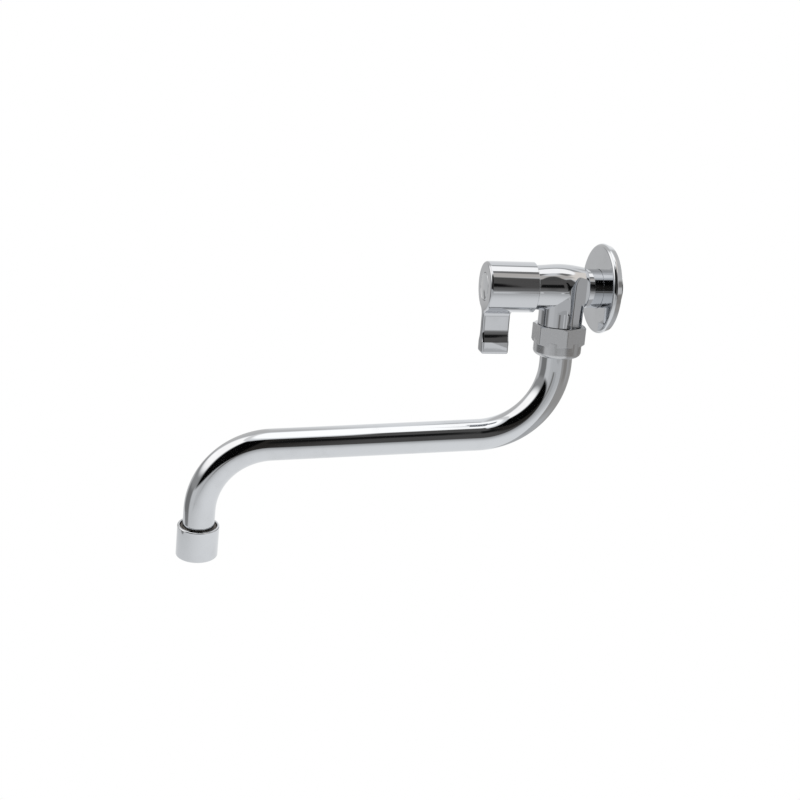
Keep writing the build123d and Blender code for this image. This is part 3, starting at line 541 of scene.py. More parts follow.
# %% Round the casting's edges
FRONT_EDGE_R = 1.5
LEVER_EDGE_R = 0.7
select_where(handle, on_face, "EDGE")
bevel(FRONT_EDGE_R, 8)
select_where(handle, lambda co: on_back(co) and from_axis(co) > HANDLE_R + 0.4, "EDGE")
bevel(LEVER_EDGE_R, 5)

# %% Hollow the back, with a hub in its middle, and open the recess for the cap
CAVITY_R, CAVITY_END = HANDLE_R - 1.9, 64.5
HUB_R, HUB_BACK = 6.8, 52.6
HUB_BORE_R, HUB_BORE_END = 5.25, 60.26
SCREW_HOLE_R, SCREW_SEAT = 2.15, 62.65
SCREW_HEAD_R = 3.75
RECESS_R, RECESS_SEAT, RECESS_CHAMFER = 7.6, 66.1, 0.15


def ring_to(radius, out):
    """Extrudes the selected ring of points to another radius and another distance out."""
    mesh = bmesh.from_edit_mesh(handle.data)
    first = next(v.co.copy() for v in mesh.verts if v.select)
    old_radius = math.hypot(first.x, first.z)
    bpy.ops.mesh.extrude_region_move(TRANSFORM_OT_translate={"value": (0, -out * MM - first.y, 0)})
    share = radius * MM / old_radius
    bpy.ops.transform.resize(value=(share, 1, share), center_override=(0, 0, 0))


select_where(handle, at_out(SKIRT_OUT), "EDGE")
for step in range(1, 5):
    turn = math.radians(90 * step / 4)
    ring_to(HANDLE_R - BACK_ROUND * (1 - math.cos(turn)), HANDLE_BACK_OUT + BACK_ROUND * (1 - math.sin(turn)))
for radius, out in (
        (CAVITY_R, HANDLE_BACK_OUT), (CAVITY_R, CAVITY_END), (HUB_R, CAVITY_END), (HUB_R, HUB_BACK),
        (HUB_BORE_R, HUB_BACK), (HUB_BORE_R, HUB_BORE_END), (SCREW_HOLE_R, HUB_BORE_END),
        (SCREW_HOLE_R, SCREW_SEAT), (SCREW_HEAD_R, SCREW_SEAT), (SCREW_HEAD_R, RECESS_SEAT),
        (RECESS_R, RECESS_SEAT), (RECESS_R, HANDLE_FRONT_OUT - RECESS_CHAMFER),
        (RECESS_R + RECESS_CHAMFER, HANDLE_FRONT_OUT)):
    ring_to(radius, out)
leave()

# %% Close the face round the recess in two halves
def face_angle(co):
    """The angle in degrees of a point of the handle's face, from +X over the top, -90 to 270."""
    angle = math.degrees(math.atan2(co.z, co.x))
    return angle + 360 if angle < -90 else angle


edit(handle, "FACE")
leave()
for face in handle.data.polygons:
    face.select = len(face.vertices) > 100 and on_face(face.center)
bpy.ops.object.mode_set(mode="EDIT")
bpy.ops.mesh.delete(type="ONLY_FACE")
leave()
seam = math.degrees(math.atan2(top_arc[ARC_STEPS // 5][1], top_arc[ARC_STEPS // 5][0]))
for angle in (seam, 180 - seam):
    select_where(handle, lambda co: on_face(co) and abs(face_angle(co) - angle) < 0.1)
    bpy.ops.mesh.edge_face_add()
    leave()
for upper in (True, False):
    select_where(handle, lambda co: on_face(co) and (
        abs(face_angle(co) - 90) < 90 - seam + 0.1 if upper else abs(face_angle(co) - 90) > 90 - seam - 0.1))
    bpy.ops.mesh.edge_face_add()
    leave()
clean(handle)
print("handle volume", round(volume(handle)), "mm3")
polish(handle, 30.0)
finish_piece(handle, "handle_body", "handle")

# %% [markdown]
# ## The index cap
#
# The round cap in the handle's face is a thin plated pressing. Its middle is slightly domed and a fine groove
# runs round its edge, where it drops into the recess of the handle.

# %% Turn the index cap
INDEX_R = 7.45
INDEX_EDGE, INDEX_EDGE_R = 68.32, 0.35
DOME_START, DOME_RISE = 68.36, 0.42
DOME_R = INDEX_R - 1.0
cap_outline = [(0, RECESS_SEAT), (INDEX_R, RECESS_SEAT)]
cap_outline += [tuple(p) for p in rounded([
    (INDEX_R, RECESS_SEAT), (INDEX_R, INDEX_EDGE, INDEX_EDGE_R), (DOME_R, DOME_START)], 6)[1:]]
for step in range(1, 13):
    share = 1 - step / 12
    cap_outline.append((DOME_R * share, DOME_START + DOME_RISE * (1 - share**2)))
index_cap = polish(turned_out("index_cap_polished", cap_outline, 128))
finish_piece(index_cap, "handle_body", "index_cap")

# %% [markdown]
# ## The spout nut
#
# A hexagon nut with a round collar below. The hexagon is a six-sided primitive with its corners broken and
# both its ends chamfered, as on a lathe; the collar and its rounded end are turned, and both are joined.

# %% Build the nut
NUT_ACROSS = 26.0
NUT_TOP = -20.2
HEX_HEIGHT = 10.4
HEX_END = NUT_TOP - HEX_HEIGHT
NUT_END = HEX_END - 6.8
NUT_CORNER_R = 0.55
NUT_COLLAR_R = 13.2
NUT_LIP_R, NUT_LIP_HEIGHT = 9.15, 4.4
NUT_BORE_R, NUT_BORE_DEPTH = 11.5, 12.7
NUT_DRILL = 14.0
corner_r = NUT_ACROSS / 2 / math.cos(math.radians(30))

bpy.ops.object.select_all(action="DESELECT")
bpy.ops.mesh.primitive_cylinder_add(
    vertices=6, radius=corner_r * MM, depth=(HEX_HEIGHT + 2) * MM,
    location=(0, 0, (NUT_TOP - HEX_HEIGHT / 2) * MM), rotation=(0, 0, math.radians(30)))
spout_nut = bpy.context.object
spout_nut.name = spout_nut.data.name = "spout_nut_polished"
bpy.ops.object.transform_apply(location=True, rotation=True, scale=True)
edit(spout_nut, "EDGE")
leave()
for edge in spout_nut.data.edges:
    a, b = (spout_nut.data.vertices[i].co for i in edge.vertices)
    edge.select = abs(a.z - b.z) > 1 * MM
bpy.ops.object.mode_set(mode="EDIT")
bevel(NUT_CORNER_R, 5)
lathe_limit = turned("lathe_limit", rounded([
    (0, NUT_TOP), (corner_r - 1.5, NUT_TOP), (corner_r - 0.1, NUT_TOP - 0.75, 0.4),
    (corner_r, HEX_END + 0.9, 0.5), (corner_r - 1.3, HEX_END), (0, HEX_END),
]))
combine(spout_nut, lathe_limit, "INTERSECT")
collar = turned("collar", rounded([
    (0, HEX_END + 2), (NUT_COLLAR_R, HEX_END + 2), (NUT_COLLAR_R, NUT_END, 2.6), (NUT_LIP_R, NUT_END, 0.15),
    (NUT_LIP_R, NUT_END + NUT_LIP_HEIGHT), (0, NUT_END + NUT_LIP_HEIGHT),
], 10))
combine(spout_nut, collar, "UNION")
combine(spout_nut, bar(NUT_BORE_R, NUT_DRILL, (0, 0, NUT_TOP - NUT_BORE_DEPTH + NUT_DRILL / 2)), "DIFFERENCE")
clean(spout_nut)
polish(place(spout_nut, BRANCH_AXIS), 20.0)
finish_piece(spout_nut, "fixed_body", "spout_nut")

# %% [markdown]
# ## The spout
#
# The spout is one drawn tube, bent twice on a round former. A ring of points is pushed down the straight
# parts and spun round the former's centre in the bends, which is just what the bender does with the tube. It
# is bent in the plane of the branch and then swung to where it rests.

# %% Bend the spout
TUBE_TOP = -18.8
BEND_START = -42.6
BEND_1_R = 43.7
RUN = 116.2
SLOPE_DEGREES, LEAN_DEGREES = 4.6, 4.0
SLOPE, LEAN = math.radians(SLOPE_DEGREES), math.radians(LEAN_DEGREES)
BEND_2_R = 44.3
TIP_STRAIGHT = 9.0
SLEEVE_END = 9.5
TUBE_WALL = 1.0


def push(out, up, steps=1):
    """Pushes the open ring of the tube along a straight line, in the branch's plane."""
    for _ in range(steps):
        bpy.ops.mesh.extrude_region_move(
            TRANSFORM_OT_translate={"value": (0, -out / steps * MM, up / steps * MM)})


def bend(centre_out, centre_z, degrees, steps):
    """Spins the open ring round a point of the branch's plane."""
    bpy.ops.mesh.spin(steps=steps, angle=math.radians(degrees), center=(0, -centre_out * MM, centre_z * MM),
                      axis=(1, 0, 0))


bpy.ops.object.select_all(action="DESELECT")
bpy.ops.mesh.primitive_circle_add(
    vertices=96, radius=TUBE_R * MM, location=(0, -BRANCH_OUT * MM, TUBE_TOP * MM))
spout_tube = bpy.context.object
spout_tube.name = spout_tube.data.name = "spout_tube_polished"
bpy.ops.object.transform_apply(location=True)
bpy.ops.object.mode_set(mode="EDIT")
bpy.ops.mesh.select_all(action="SELECT")
push(0, BEND_START - TUBE_TOP, 4)
bend(BRANCH_OUT + BEND_1_R, BEND_START, 90 - SLOPE_DEGREES, 56)
run_start = (BRANCH_OUT + BEND_1_R * (1 - math.sin(SLOPE)), BEND_START - BEND_1_R * math.cos(SLOPE))
push(RUN * math.cos(SLOPE), -RUN * math.sin(SLOPE), 24)
run_end = (run_start[0] + RUN * math.cos(SLOPE), run_start[1] - RUN * math.sin(SLOPE))
bend_2 = (run_end[0] - BEND_2_R * math.sin(SLOPE), run_end[1] - BEND_2_R * math.cos(SLOPE))
bend(*bend_2, -(90 - SLOPE_DEGREES - LEAN_DEGREES), 56)
tip_start = (bend_2[0] + BEND_2_R * math.cos(LEAN), bend_2[1] + BEND_2_R * math.sin(LEAN))
push(math.sin(LEAN) * (TIP_STRAIGHT + SLEEVE_END), -math.cos(LEAN) * (TIP_STRAIGHT + SLEEVE_END), 4)
leave()
clean(spout_tube)
modify(spout_tube, "SOLIDIFY", thickness=TUBE_WALL * MM, offset=-1)

SWING = BRANCH_AXIS @ Matrix.Rotation(math.radians(REST_SWING), 4, "Z") @ BRANCH_AXIS.inverted()
polish(place(spout_tube, SWING))
finish_piece(spout_tube, "spout_body", "spout_tube")

# %% [markdown]
# ## The outlet
#
# The aerator screws on the tube's end. Its cap is a plain turned cylinder with soft edges; the tube drops
# into an open ring-shaped recess at its top, and a pale plastic insert looks out at the bottom. These pieces
# are turned on their own axis, with heights that run down from the cap's rim, and are then carried to the
# tip.

# %% Carry a piece to the tip
RIM = Vector((0, -(tip_start[0] + math.sin(LEAN) * TIP_STRAIGHT) * MM,
              (tip_start[1] - math.cos(LEAN) * TIP_STRAIGHT) * MM))
AT_TIP = SWING @ Matrix.Translation(RIM) @ Matrix.Rotation(-LEAN, 4, "X")
print("rim centre", [round(c / MM, 2) for c in AT_TIP.translation])


def turned_tip(name, outline, steps=160):
    """A turned piece on the tip's axis, from its (radius, distance below the rim) outline."""
    return place(turned(name, [(r, -down) for r, down in outline], steps), AT_TIP)


# %% Turn the aerator cap
CAP_LENGTH = 18.8
CAP_BORE_R, CAP_BORE_END = 10.6, 12.5
INSERT_R = 8.2
MOUTH_R = INSERT_R + 0.15
cap_outline = rounded([
    (CAP_BORE_R, 9.0), (CAP_BORE_R, 0.0, 0.35), (CAP_R, 0.0, 0.7), (CAP_R, CAP_LENGTH, 0.7),
    (MOUTH_R, CAP_LENGTH, 0.25), (MOUTH_R, CAP_BORE_END), (CAP_BORE_R, CAP_BORE_END), (CAP_BORE_R, 9.0),
])
aerator_cap = polish(turned_tip("aerator_cap_polished", cap_outline))
finish_piece(aerator_cap, "spout_body", "aerator_cap")

# %% Turn the sleeve and cut its thread rings
SLEEVE_R, SLEEVE_TOP, SLEEVE_CHAMFER = 10.5, 0.8, 0.4
SLEEVE_GROOVE_R = 9.95
sleeve_outline = [
    (TUBE_R, SLEEVE_TOP), (SLEEVE_R - SLEEVE_CHAMFER, SLEEVE_TOP), (SLEEVE_R, SLEEVE_TOP + SLEEVE_CHAMFER)]
for ring in range(7):
    top = 1.5 + 1.0 * ring
    sleeve_outline += [
        (SLEEVE_R, top), (SLEEVE_GROOVE_R, top + 0.4), (SLEEVE_GROOVE_R, top + 0.55), (SLEEVE_R, top + 0.95)]
sleeve_outline += [(SLEEVE_R, SLEEVE_END), (TUBE_R, SLEEVE_END), (TUBE_R, SLEEVE_TOP)]
tip_sleeve = polish(turned_tip("tip_sleeve_cut", sleeve_outline, 128))
finish_piece(tip_sleeve, "spout_body", "tip_sleeve")

# %% Turn the insert and lay its grid
WASHER_END = SLEEVE_END + 1.8
INSERT_END = CAP_LENGTH + 1.5
INSERT_BORE_R = 7.0
GRID_TOP = WASHER_END + 1.0 + 3 * 1.3
GRID_SETBACK = 0.15
GRID_R = 7.5
RIB, RIB_PITCH, RIB_LENGTH = 0.6, 2.4, 15.2
insert_outline = rounded([
    (INSERT_BORE_R, WASHER_END), (SLEEVE_R, WASHER_END, 0.1), (SLEEVE_R, CAP_BORE_END, 0.1),
    (INSERT_R, CAP_BORE_END, 0.1), (INSERT_R, INSERT_END, 0.4), (INSERT_BORE_R, INSERT_END, 0.3),
    (INSERT_BORE_R, WASHER_END),
])
aerator_insert = turned("aerator_insert_moulded", [(r, -down) for r, down in insert_outline], 128)
grid_height = INSERT_END - GRID_SETBACK - GRID_TOP
grid_middle = -(GRID_TOP + grid_height / 2)
ribs = [block((RIB_LENGTH, RIB, grid_height), (0, row * RIB_PITCH, grid_middle)) for row in range(-2, 3)]
ribs += [block((RIB, RIB_LENGTH, grid_height), (row * RIB_PITCH, 0, grid_middle)) for row in range(-2, 3)]
grid = ribs[0]
for rib in ribs[1:]:
    combine(grid, rib, "UNION")
combine(grid, bar(GRID_R, 30, (0, 0, -15)), "INTERSECT")
combine(aerator_insert, grid, "UNION")
clean(aerator_insert)
polish(place(aerator_insert, AT_TIP))
finish_piece(aerator_insert, "spout_body", "aerator_insert")

# %% [markdown]
# ## Finishes
#
# Every finish is one Principled shader. What varies over a surface comes from small shared groups: polishing
# marks, the soft waves of a forging, turning rings, handling smudges and dried water. They work on Object
# coordinates, in metres, so each pattern has its real size and stays with its piece when the piece turns.

# %% Helpers for shader nodes
def join(tree, source, target):
    """Links one socket to another."""
    tree.links.new(source, target)


def feed(tree, value, socket):
    """Links an input to the value where that is a socket too, and sets it otherwise."""
    if isinstance(value, bpy.types.NodeSocket):
        join(tree, value, socket)
    else:
        socket.default_value = value


def add(tree, kind, **values):
    """Adds a node, feeds its named inputs and returns it."""
    node = tree.nodes.new(kind)
    for name, value in values.items():
        feed(tree, value, node.inputs[name.replace("_", " ")])
    return node


def maths(tree, how, *values):
    """A Math node of sockets or numbers. Returns its result."""
    node = tree.nodes.new("ShaderNodeMath")
    node.operation = how
    for socket, value in zip(node.inputs, values):
        feed(tree, value, socket)
    return node.outputs[0]


def vector_maths(tree, how, *values):
    """A Vector Math node of sockets or (x, y, z). Returns the node."""
    node = tree.nodes.new("ShaderNodeVectorMath")
    node.operation = how
    for socket, value in zip(node.inputs, values):
        feed(tree, value, socket)
    return node


def fade(tree, value, start, end, low=0.0, high=1.0):
    """Maps a value smoothly from the range start..end to low..high."""
    node = add(tree, "ShaderNodeMapRange", Value=value, From_Min=start, From_Max=end, To_Min=low, To_Max=high)
    node.interpolation_type = "SMOOTHSTEP"
    return node.outputs["Result"]


def noise(tree, vector, scale, detail=2.0, roughness=0.5):
    """A noise pattern at a scale per metre."""
    node = add(tree, "ShaderNodeTexNoise", Vector=vector, Scale=scale, Detail=detail, Roughness=roughness)
    return node.outputs["Fac"]


def blend(tree, factor, first, second):
    """Mixes two colours, each a socket or an (r, g, b)."""
    node = tree.nodes.new("ShaderNodeMix")
    node.data_type = "RGBA"
    join(tree, factor, node.inputs["Factor"])
    for socket, colour in ((node.inputs[6], first), (node.inputs[7], second)):
        feed(tree, (*colour, 1) if isinstance(colour, tuple) else colour, socket)
    return node.outputs[2]


def new_group(name, inputs, outputs):
    """An empty shader group with named sockets. Inputs are (name, kind, default)."""
    group = bpy.data.node_groups.new(name, "ShaderNodeTree")
    for socket, kind, default in inputs:
        made = group.interface.new_socket(name=socket, in_out="INPUT", socket_type=kind)
        if default is not None:
            made.default_value = default
    for socket in outputs:
        group.interface.new_socket(name=socket, in_out="OUTPUT", socket_type="NodeSocketFloat")
    return group, group.nodes.new("NodeGroupInput"), group.nodes.new("NodeGroupOutput")


# %% [markdown]
# ### Marks of the buff
#
# A buffing wheel leaves very fine lines along its path. A noise that is squeezed a lot across the path and a
# little along it looks the same: long thin streaks. Only its height is put out, for the Bump node of each
# finish.

# %% Group: polishing lines
polishing_lines, start, end = new_group(
    "Polishing lines",
    [("Vector", "NodeSocketVector", None), ("Fineness", "NodeSocketFloat", 9000.0)], ["Height"])
squeezed = add(polishing_lines, "ShaderNodeMapping", Vector=start.outputs["Vector"], Scale=(1.0, 0.06, 1.0))
lines = noise(polishing_lines, squeezed.outputs["Vector"], start.outputs["Fineness"], 3.0, 0.6)
join(polishing_lines, lines, end.inputs["Height"])

# %% [markdown]
# ### Rings of the lathe
#
# A turned face carries fine rings round its axis. The group takes coordinates that are centred on the axis,
# with the axis along Z, and makes one noise line of the radius plus the height, so that rings show on flat
# and round faces.

# %% Group: turning rings
turning_rings, start, end = new_group(
    "Turning rings",
    [("Vector", "NodeSocketVector", None), ("Fineness", "NodeSocketFloat", 6000.0)], ["Height"])
split = add(turning_rings, "ShaderNodeSeparateXYZ", Vector=start.outputs["Vector"])
across = maths(turning_rings, "ADD", maths(turning_rings, "POWER", split.outputs["X"], 2.0),
               maths(turning_rings, "POWER", split.outputs["Y"], 2.0))
ring_place = maths(turning_rings, "ADD", maths(turning_rings, "SQRT", across), split.outputs["Z"])
rings = add(turning_rings, "ShaderNodeTexNoise", Scale=start.outputs["Fineness"], Detail=4.0, Roughness=0.65)
rings.noise_dimensions = "1D"
join(turning_rings, ring_place, rings.inputs["W"])
join(turning_rings, rings.outputs["Fac"], end.inputs["Height"])

# %% [markdown]
# ### Handling and water
#
# Nothing in a kitchen stays spotless. The first output is a soft smudge, as a hand or a cloth leaves. The
# second is the thin ring of a dried drop: a Voronoi cell's distance, kept only in a narrow band and in few of
# the cells.

# %% Group: handling
handling, start, end = new_group("Handling", [("Vector", "NodeSocketVector", None)], ["Smudge", "Water spots"])
cloud = noise(handling, start.outputs["Vector"], 55.0, 4.0, 0.6)
join(handling, fade(handling, cloud, 0.48, 0.72), end.inputs["Smudge"])
drops = add(handling, "ShaderNodeTexVoronoi", Vector=start.outputs["Vector"], Scale=240.0)
outer_edge = fade(handling, drops.outputs["Distance"], 0.20, 0.24, 1.0, 0.0)
inner_edge = fade(handling, drops.outputs["Distance"], 0.14, 0.19)
few = add(handling, "ShaderNodeSeparateColor", Color=drops.outputs["Color"])
chosen = maths(handling, "GREATER_THAN", few.outputs[0], 0.93)
ring_mask = maths(handling, "MULTIPLY", maths(handling, "MULTIPLY", outer_edge, inner_edge), chosen)
join(handling, ring_mask, end.inputs["Water spots"])

# %% [markdown]
# ### Waves of the casting
#
# A forged or cast part is ground by hand before plating, so its faces are never as true as a turned one. Two
# slow noises give these waves. They are only some thousandths of a millimetre high, yet bright edges bend
# over them.

# %% Group: ground waves
ground_waves, start, end = new_group("Ground waves", [("Vector", "NodeSocketVector", None)], ["Height"])
slow = noise(ground_waves, start.outputs["Vector"], 90.0, 1.0, 0.4)
quick = noise(ground_waves, start.outputs["Vector"], 420.0, 2.0, 0.5)
join(ground_waves, maths(ground_waves, "ADD", slow, maths(ground_waves, "MULTIPLY", quick, 0.22)),
     end.inputs["Height"])

# %% Helper: start a finish
def new_finish(name, centre=(0, 0, 0), turn=(0, 0, 0)):
    """A new material, its tree, its shader, and coordinates in metres that are centred on a piece."""
    material = bpy.data.materials.new(name)
    material.use_nodes = True
    tree = material.node_tree
    shader = tree.nodes["Principled BSDF"]
    where = tree.nodes.new("ShaderNodeTexCoord")
    centred = add(tree, "ShaderNodeMapping", Vector=where.outputs["Object"], Location=centre, Rotation=turn)
    centred.vector_type = "TEXTURE"
    return material, tree, shader, centred.outputs["Vector"]


def use_group(tree, group, vector, **values):
    """Places a shared group in a finish and returns its node."""
    node = tree.nodes.new("ShaderNodeGroup")
    node.node_tree = group
    join(tree, vector, node.inputs["Vector"])
    for name, value in values.items():
        node.inputs[name].default_value = value
    return node


def bump(tree, height, depth, before=None):
    """A Bump node of a real depth in metres, laid over another one."""
    node = add(tree, "ShaderNodeBump", Height=height, Strength=1.0, Distance=depth)
    if before is not None:
        join(tree, before, node.inputs["Normal"])
    return node.outputs["Normal"]


# %% [markdown]
# ### Chrome
#
# Bright chrome mirrors a little under two thirds of the light and is faintly blue. The plating follows
# whatever is below it, so each piece has its own marks: lines on the drawn tube, waves on the forging and the
# casting, rings on turned and pressed pieces. The forging and the casting are a tone darker, and the nut is
# satin: darker still, and much rougher. Smudges and dried water make every chrome a touch rougher in places.

# %% Make the chromes
CHROME = (0.620, 0.640, 0.665)
CHROME_ON_CASTING = (0.560, 0.575, 0.600)
CHROME_SATIN = (0.52, 0.53, 0.545)
CHROME_WORN = (0.550, 0.565, 0.585)


def chrome(name, marks, depth, wave_depth=0.0, fineness=6000.0, centre=(0, 0, 0), turn=(0, 0, 0),
           colour=CHROME, rough=0.030):
    """Bright chrome with one kind of fine mark, and with ground waves where wave_depth is given."""
    material, tree, shader, vector = new_finish(name, centre, turn)
    dirt = use_group(tree, handling, vector)
    tone = blend(tree, maths(tree, "MULTIPLY", dirt.outputs["Smudge"], 0.5), colour, CHROME_WORN)
    limed = blend(tree, maths(tree, "MULTIPLY", dirt.outputs["Water spots"], 0.2), tone, (0.60, 0.60, 0.60))
    join(tree, limed, shader.inputs["Base Color"])
    shader.inputs["Metallic"].default_value = 1.0
    grain = noise(tree, vector, 1500.0, 2.0)
    roughness = maths(tree, "ADD", fade(tree, dirt.outputs["Smudge"], 0.0, 1.0, rough, rough + 0.032),
                      maths(tree, "MULTIPLY", grain, 0.008))
    roughness = maths(tree, "ADD", roughness, maths(tree, "MULTIPLY", dirt.outputs["Water spots"], 0.04))
    join(tree, roughness, shader.inputs["Roughness"])
    fine = use_group(tree, marks, vector, Fineness=fineness)
    normal = bump(tree, fine.outputs["Height"], depth)
    if wave_depth:
        waves = use_group(tree, ground_waves, vector)
        normal = bump(tree, waves.outputs["Height"], wave_depth, normal)
    join(tree, normal, shader.inputs["Normal"])
    return material


AT_BRANCH = (0, -BRANCH_OUT * MM, 0)
chrome_flange = chrome("chrome_pressed_flange", turning_rings, 4e-8, turn=(QUARTER, 0, 0))
chrome_body = chrome("chrome_forged_body", polishing_lines, 4e-8, 1.2e-5, 9000.0, colour=CHROME_ON_CASTING)
chrome_handle = chrome("chrome_cast_handle", polishing_lines, 4e-8, 0.8e-5, 9000.0, turn=(QUARTER, 0, 0),
                       colour=CHROME_ON_CASTING)
chrome_cap = chrome("chrome_index_cap", turning_rings, 5e-8, turn=(QUARTER, 0, 0))
chrome_nut = chrome("chrome_turned_nut", turning_rings, 5e-8, centre=AT_BRANCH,
                    colour=CHROME_SATIN, rough=0.19)
chrome_tube = chrome("chrome_drawn_tube", polishing_lines, 3e-8, 0.5e-5, 8000.0)
chrome_aerator = chrome("chrome_turned_aerator", turning_rings, 5e-8, centre=tuple(AT_TIP.translation),
                        turn=(-LEAN, 0, math.radians(REST_SWING)))

# %% [markdown]
# ### Brass, steel, rubber, plastic and ceramic
#
# These sit inside, and show only in views into the spout's tip or when a piece is taken off. Machined brass
# is warm with rings and a few tarnished patches, spring steel is grey, rubber is nearly black with a dull
# bloom, the valve plastics are milky, and the lapped alumina discs are white with a fine grey speckle. The
# brass sleeve at the tip is instead painted nearly black, as painted shade for the recess under the aerator
# cap's rim.

# %% Make the hidden finishes
def metal(name, colour, tarnish, rough, depth, fineness, centre, turn, amount):
    """A bare turned metal with rings and tarnished patches."""
    material, tree, shader, vector = new_finish(name, centre, turn)
    patches = fade(tree, noise(tree, vector, 190.0, 5.0, 0.65), 0.50, 0.74)
    specks = fade(tree, noise(tree, vector, 2600.0, 2.0), 0.58, 0.70)
    either = maths(tree, "MAXIMUM", patches, maths(tree, "MULTIPLY", specks, 0.5))
    stained = maths(tree, "MULTIPLY", either, amount)
    join(tree, blend(tree, stained, colour, tarnish), shader.inputs["Base Color"])
    shader.inputs["Metallic"].default_value = 1.0
    join(tree, fade(tree, stained, 0.0, 1.0, rough, rough + 0.22), shader.inputs["Roughness"])
    fine = use_group(tree, turning_rings, vector, Fineness=fineness)
    join(tree, bump(tree, fine.outputs["Height"], depth), shader.inputs["Normal"])
    return material


def moulded(name, colour, shade, rough, grain_scale, depth, bloom, subsurface=0.0):
    """A moulded rubber, plastic or ceramic with a fine grain, a cloudy tone and a dusty bloom."""
    material, tree, shader, vector = new_finish(name)
    cloud = noise(tree, vector, 160.0, 4.0, 0.6)
    grain = noise(tree, vector, grain_scale, 3.0, 0.6)
    tone = blend(tree, fade(tree, cloud, 0.35, 0.7), colour, shade)
    dust = maths(tree, "MULTIPLY", fade(tree, grain, 0.55, 0.75), bloom)
    join(tree, blend(tree, dust, tone, (0.62, 0.60, 0.57)), shader.inputs["Base Color"])
    join(tree, fade(tree, cloud, 0.3, 0.7, rough, rough + 0.14), shader.inputs["Roughness"])
    join(tree, bump(tree, grain, depth), shader.inputs["Normal"])
    shader.inputs["Subsurface Weight"].default_value = subsurface
    shader.inputs["Subsurface Scale"].default_value = 0.001
    return material


ON_INLET = ((0, 0, 0), (QUARTER, 0, 0))
ON_BRANCH = (AT_BRANCH, (0, 0, 0))
ON_TIP = (tuple(AT_TIP.translation), (-LEAN, 0, math.radians(REST_SWING)))
BRASS, TARNISH = (0.79, 0.58, 0.29), (0.43, 0.28, 0.13)
STEEL, STEEL_DULL = (0.56, 0.55, 0.53), (0.36, 0.35, 0.33)
# the tip sleeve's nearly black brass, and its still darker tarnish patches, are painted shade for the recess
# under the aerator cap's rim
PAINTED_SHADE_BRASS, PAINTED_SHADE_BRASS_TARNISH = (0.085, 0.075, 0.065), (0.03, 0.028, 0.026)
brass_inlet = metal("brass_turned_inlet", BRASS, TARNISH, 0.22, 4e-7, 5000.0, *ON_INLET, 0.55)
brass_branch = metal("brass_turned_branch", BRASS, TARNISH, 0.26, 4e-7, 5000.0, *ON_BRANCH, 0.7)
# painted shade: the tip sleeve is dressed nearly black where the recess round the tube lies in shadow
brass_tip_painted_shade = metal("brass_thread_painted_shade", PAINTED_SHADE_BRASS, PAINTED_SHADE_BRASS_TARNISH, 0.30, 3e-7, 5000.0, *ON_TIP, 0.8)
steel_clip = metal("steel_spring_clip", STEEL, STEEL_DULL, 0.28, 2e-7, 4000.0, *ON_INLET, 0.4)
steel_screen = metal("steel_woven_screen", STEEL, STEEL_DULL, 0.34, 3e-7, 9000.0, *ON_TIP, 0.5)
rubber_seal = moulded(
    "rubber_black_seal", (0.022, 0.022, 0.023), (0.034, 0.033, 0.032), 0.46, 5200.0, 3e-6, 0.12)
rubber_washer = moulded(
    "rubber_flat_washer", (0.030, 0.029, 0.028), (0.045, 0.043, 0.040), 0.52, 4200.0, 5e-6, 0.2)
plastic_slip = moulded(
    "plastic_slip_ring", (0.74, 0.73, 0.69), (0.66, 0.64, 0.59), 0.34, 3600.0, 2e-6, 0.0, 0.1)
plastic_bush = moulded(
    "plastic_spline_bush", (0.07, 0.07, 0.075), (0.10, 0.10, 0.10), 0.40, 3600.0, 3e-6, 0.06)
plastic_insert = moulded(
    "plastic_aerator_insert", (0.56, 0.54, 0.50), (0.48, 0.46, 0.42), 0.36, 3800.0, 2e-6, 0.1, 0.1)
plastic_jet = moulded("plastic_jet_plate", (0.34, 0.42, 0.47), (0.28, 0.35, 0.40), 0.38, 3800.0, 2e-6, 0.05)
ceramic_disc = moulded(
    "ceramic_lapped_disc", (0.80, 0.79, 0.76), (0.74, 0.73, 0.70), 0.18, 9000.0, 2e-7, 0.25)

# %% Dress every piece
DRESS = {
    "wall_flange_polished": chrome_flange, "valve_body_polished": chrome_body,
    "handle_polished": chrome_handle, "index_cap_polished": chrome_cap, "spout_nut_polished": chrome_nut,
    "spout_tube_polished": chrome_tube, "aerator_cap_polished": chrome_aerator, "tip_sleeve_cut": brass_tip_painted_shade,
    "aerator_insert_moulded": plastic_insert,
    "cartridge_housing": brass_inlet, "spindle": brass_inlet, "spout_collar": brass_branch,
    "spindle_clip": steel_clip, "handle_screw": steel_clip, "aerator_screens": steel_screen,
    "cartridge_o_ring": rubber_seal, "spindle_o_rings": rubber_seal, "seat_seal": rubber_seal,
    "spout_packing": rubber_seal, "aerator_washer": rubber_washer, "slide_washer": plastic_slip,
    "spout_slip_ring": plastic_slip, "spline_bush": plastic_bush, "jet_plate": plastic_jet,
    "fixed_disc": ceramic_disc, "moving_disc": ceramic_disc,
}
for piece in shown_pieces():
    if piece.name in DRESS:
        piece.data.materials.clear()
        piece.data.materials.append(DRESS[piece.name])
    else:
        print("no finish for", piece.name)

# %% [markdown]
# ## The studio
#
# The faucet hangs over a sheet of white paper in a product photographer's room: a softbox on the left,
# another light overhead, a dark opening on the camera's side, and a paler side towards the wall. Below the
# horizon, past the paper's edge, the floor and what stands on it show in greys. What the camera sees directly
# is plain white, and the light on matt surfaces is an even white as well. Only mirrors see the room, through
# Light Path's Is Glossy Ray.
#
# Each area of the room is a soft-edged patch of the sky dome. Later rows lie over earlier ones. The
# photograph doesn't show the room, so the patches were placed by asking, for each bright or dark band in the
# chrome, which way that bit of chrome looks.

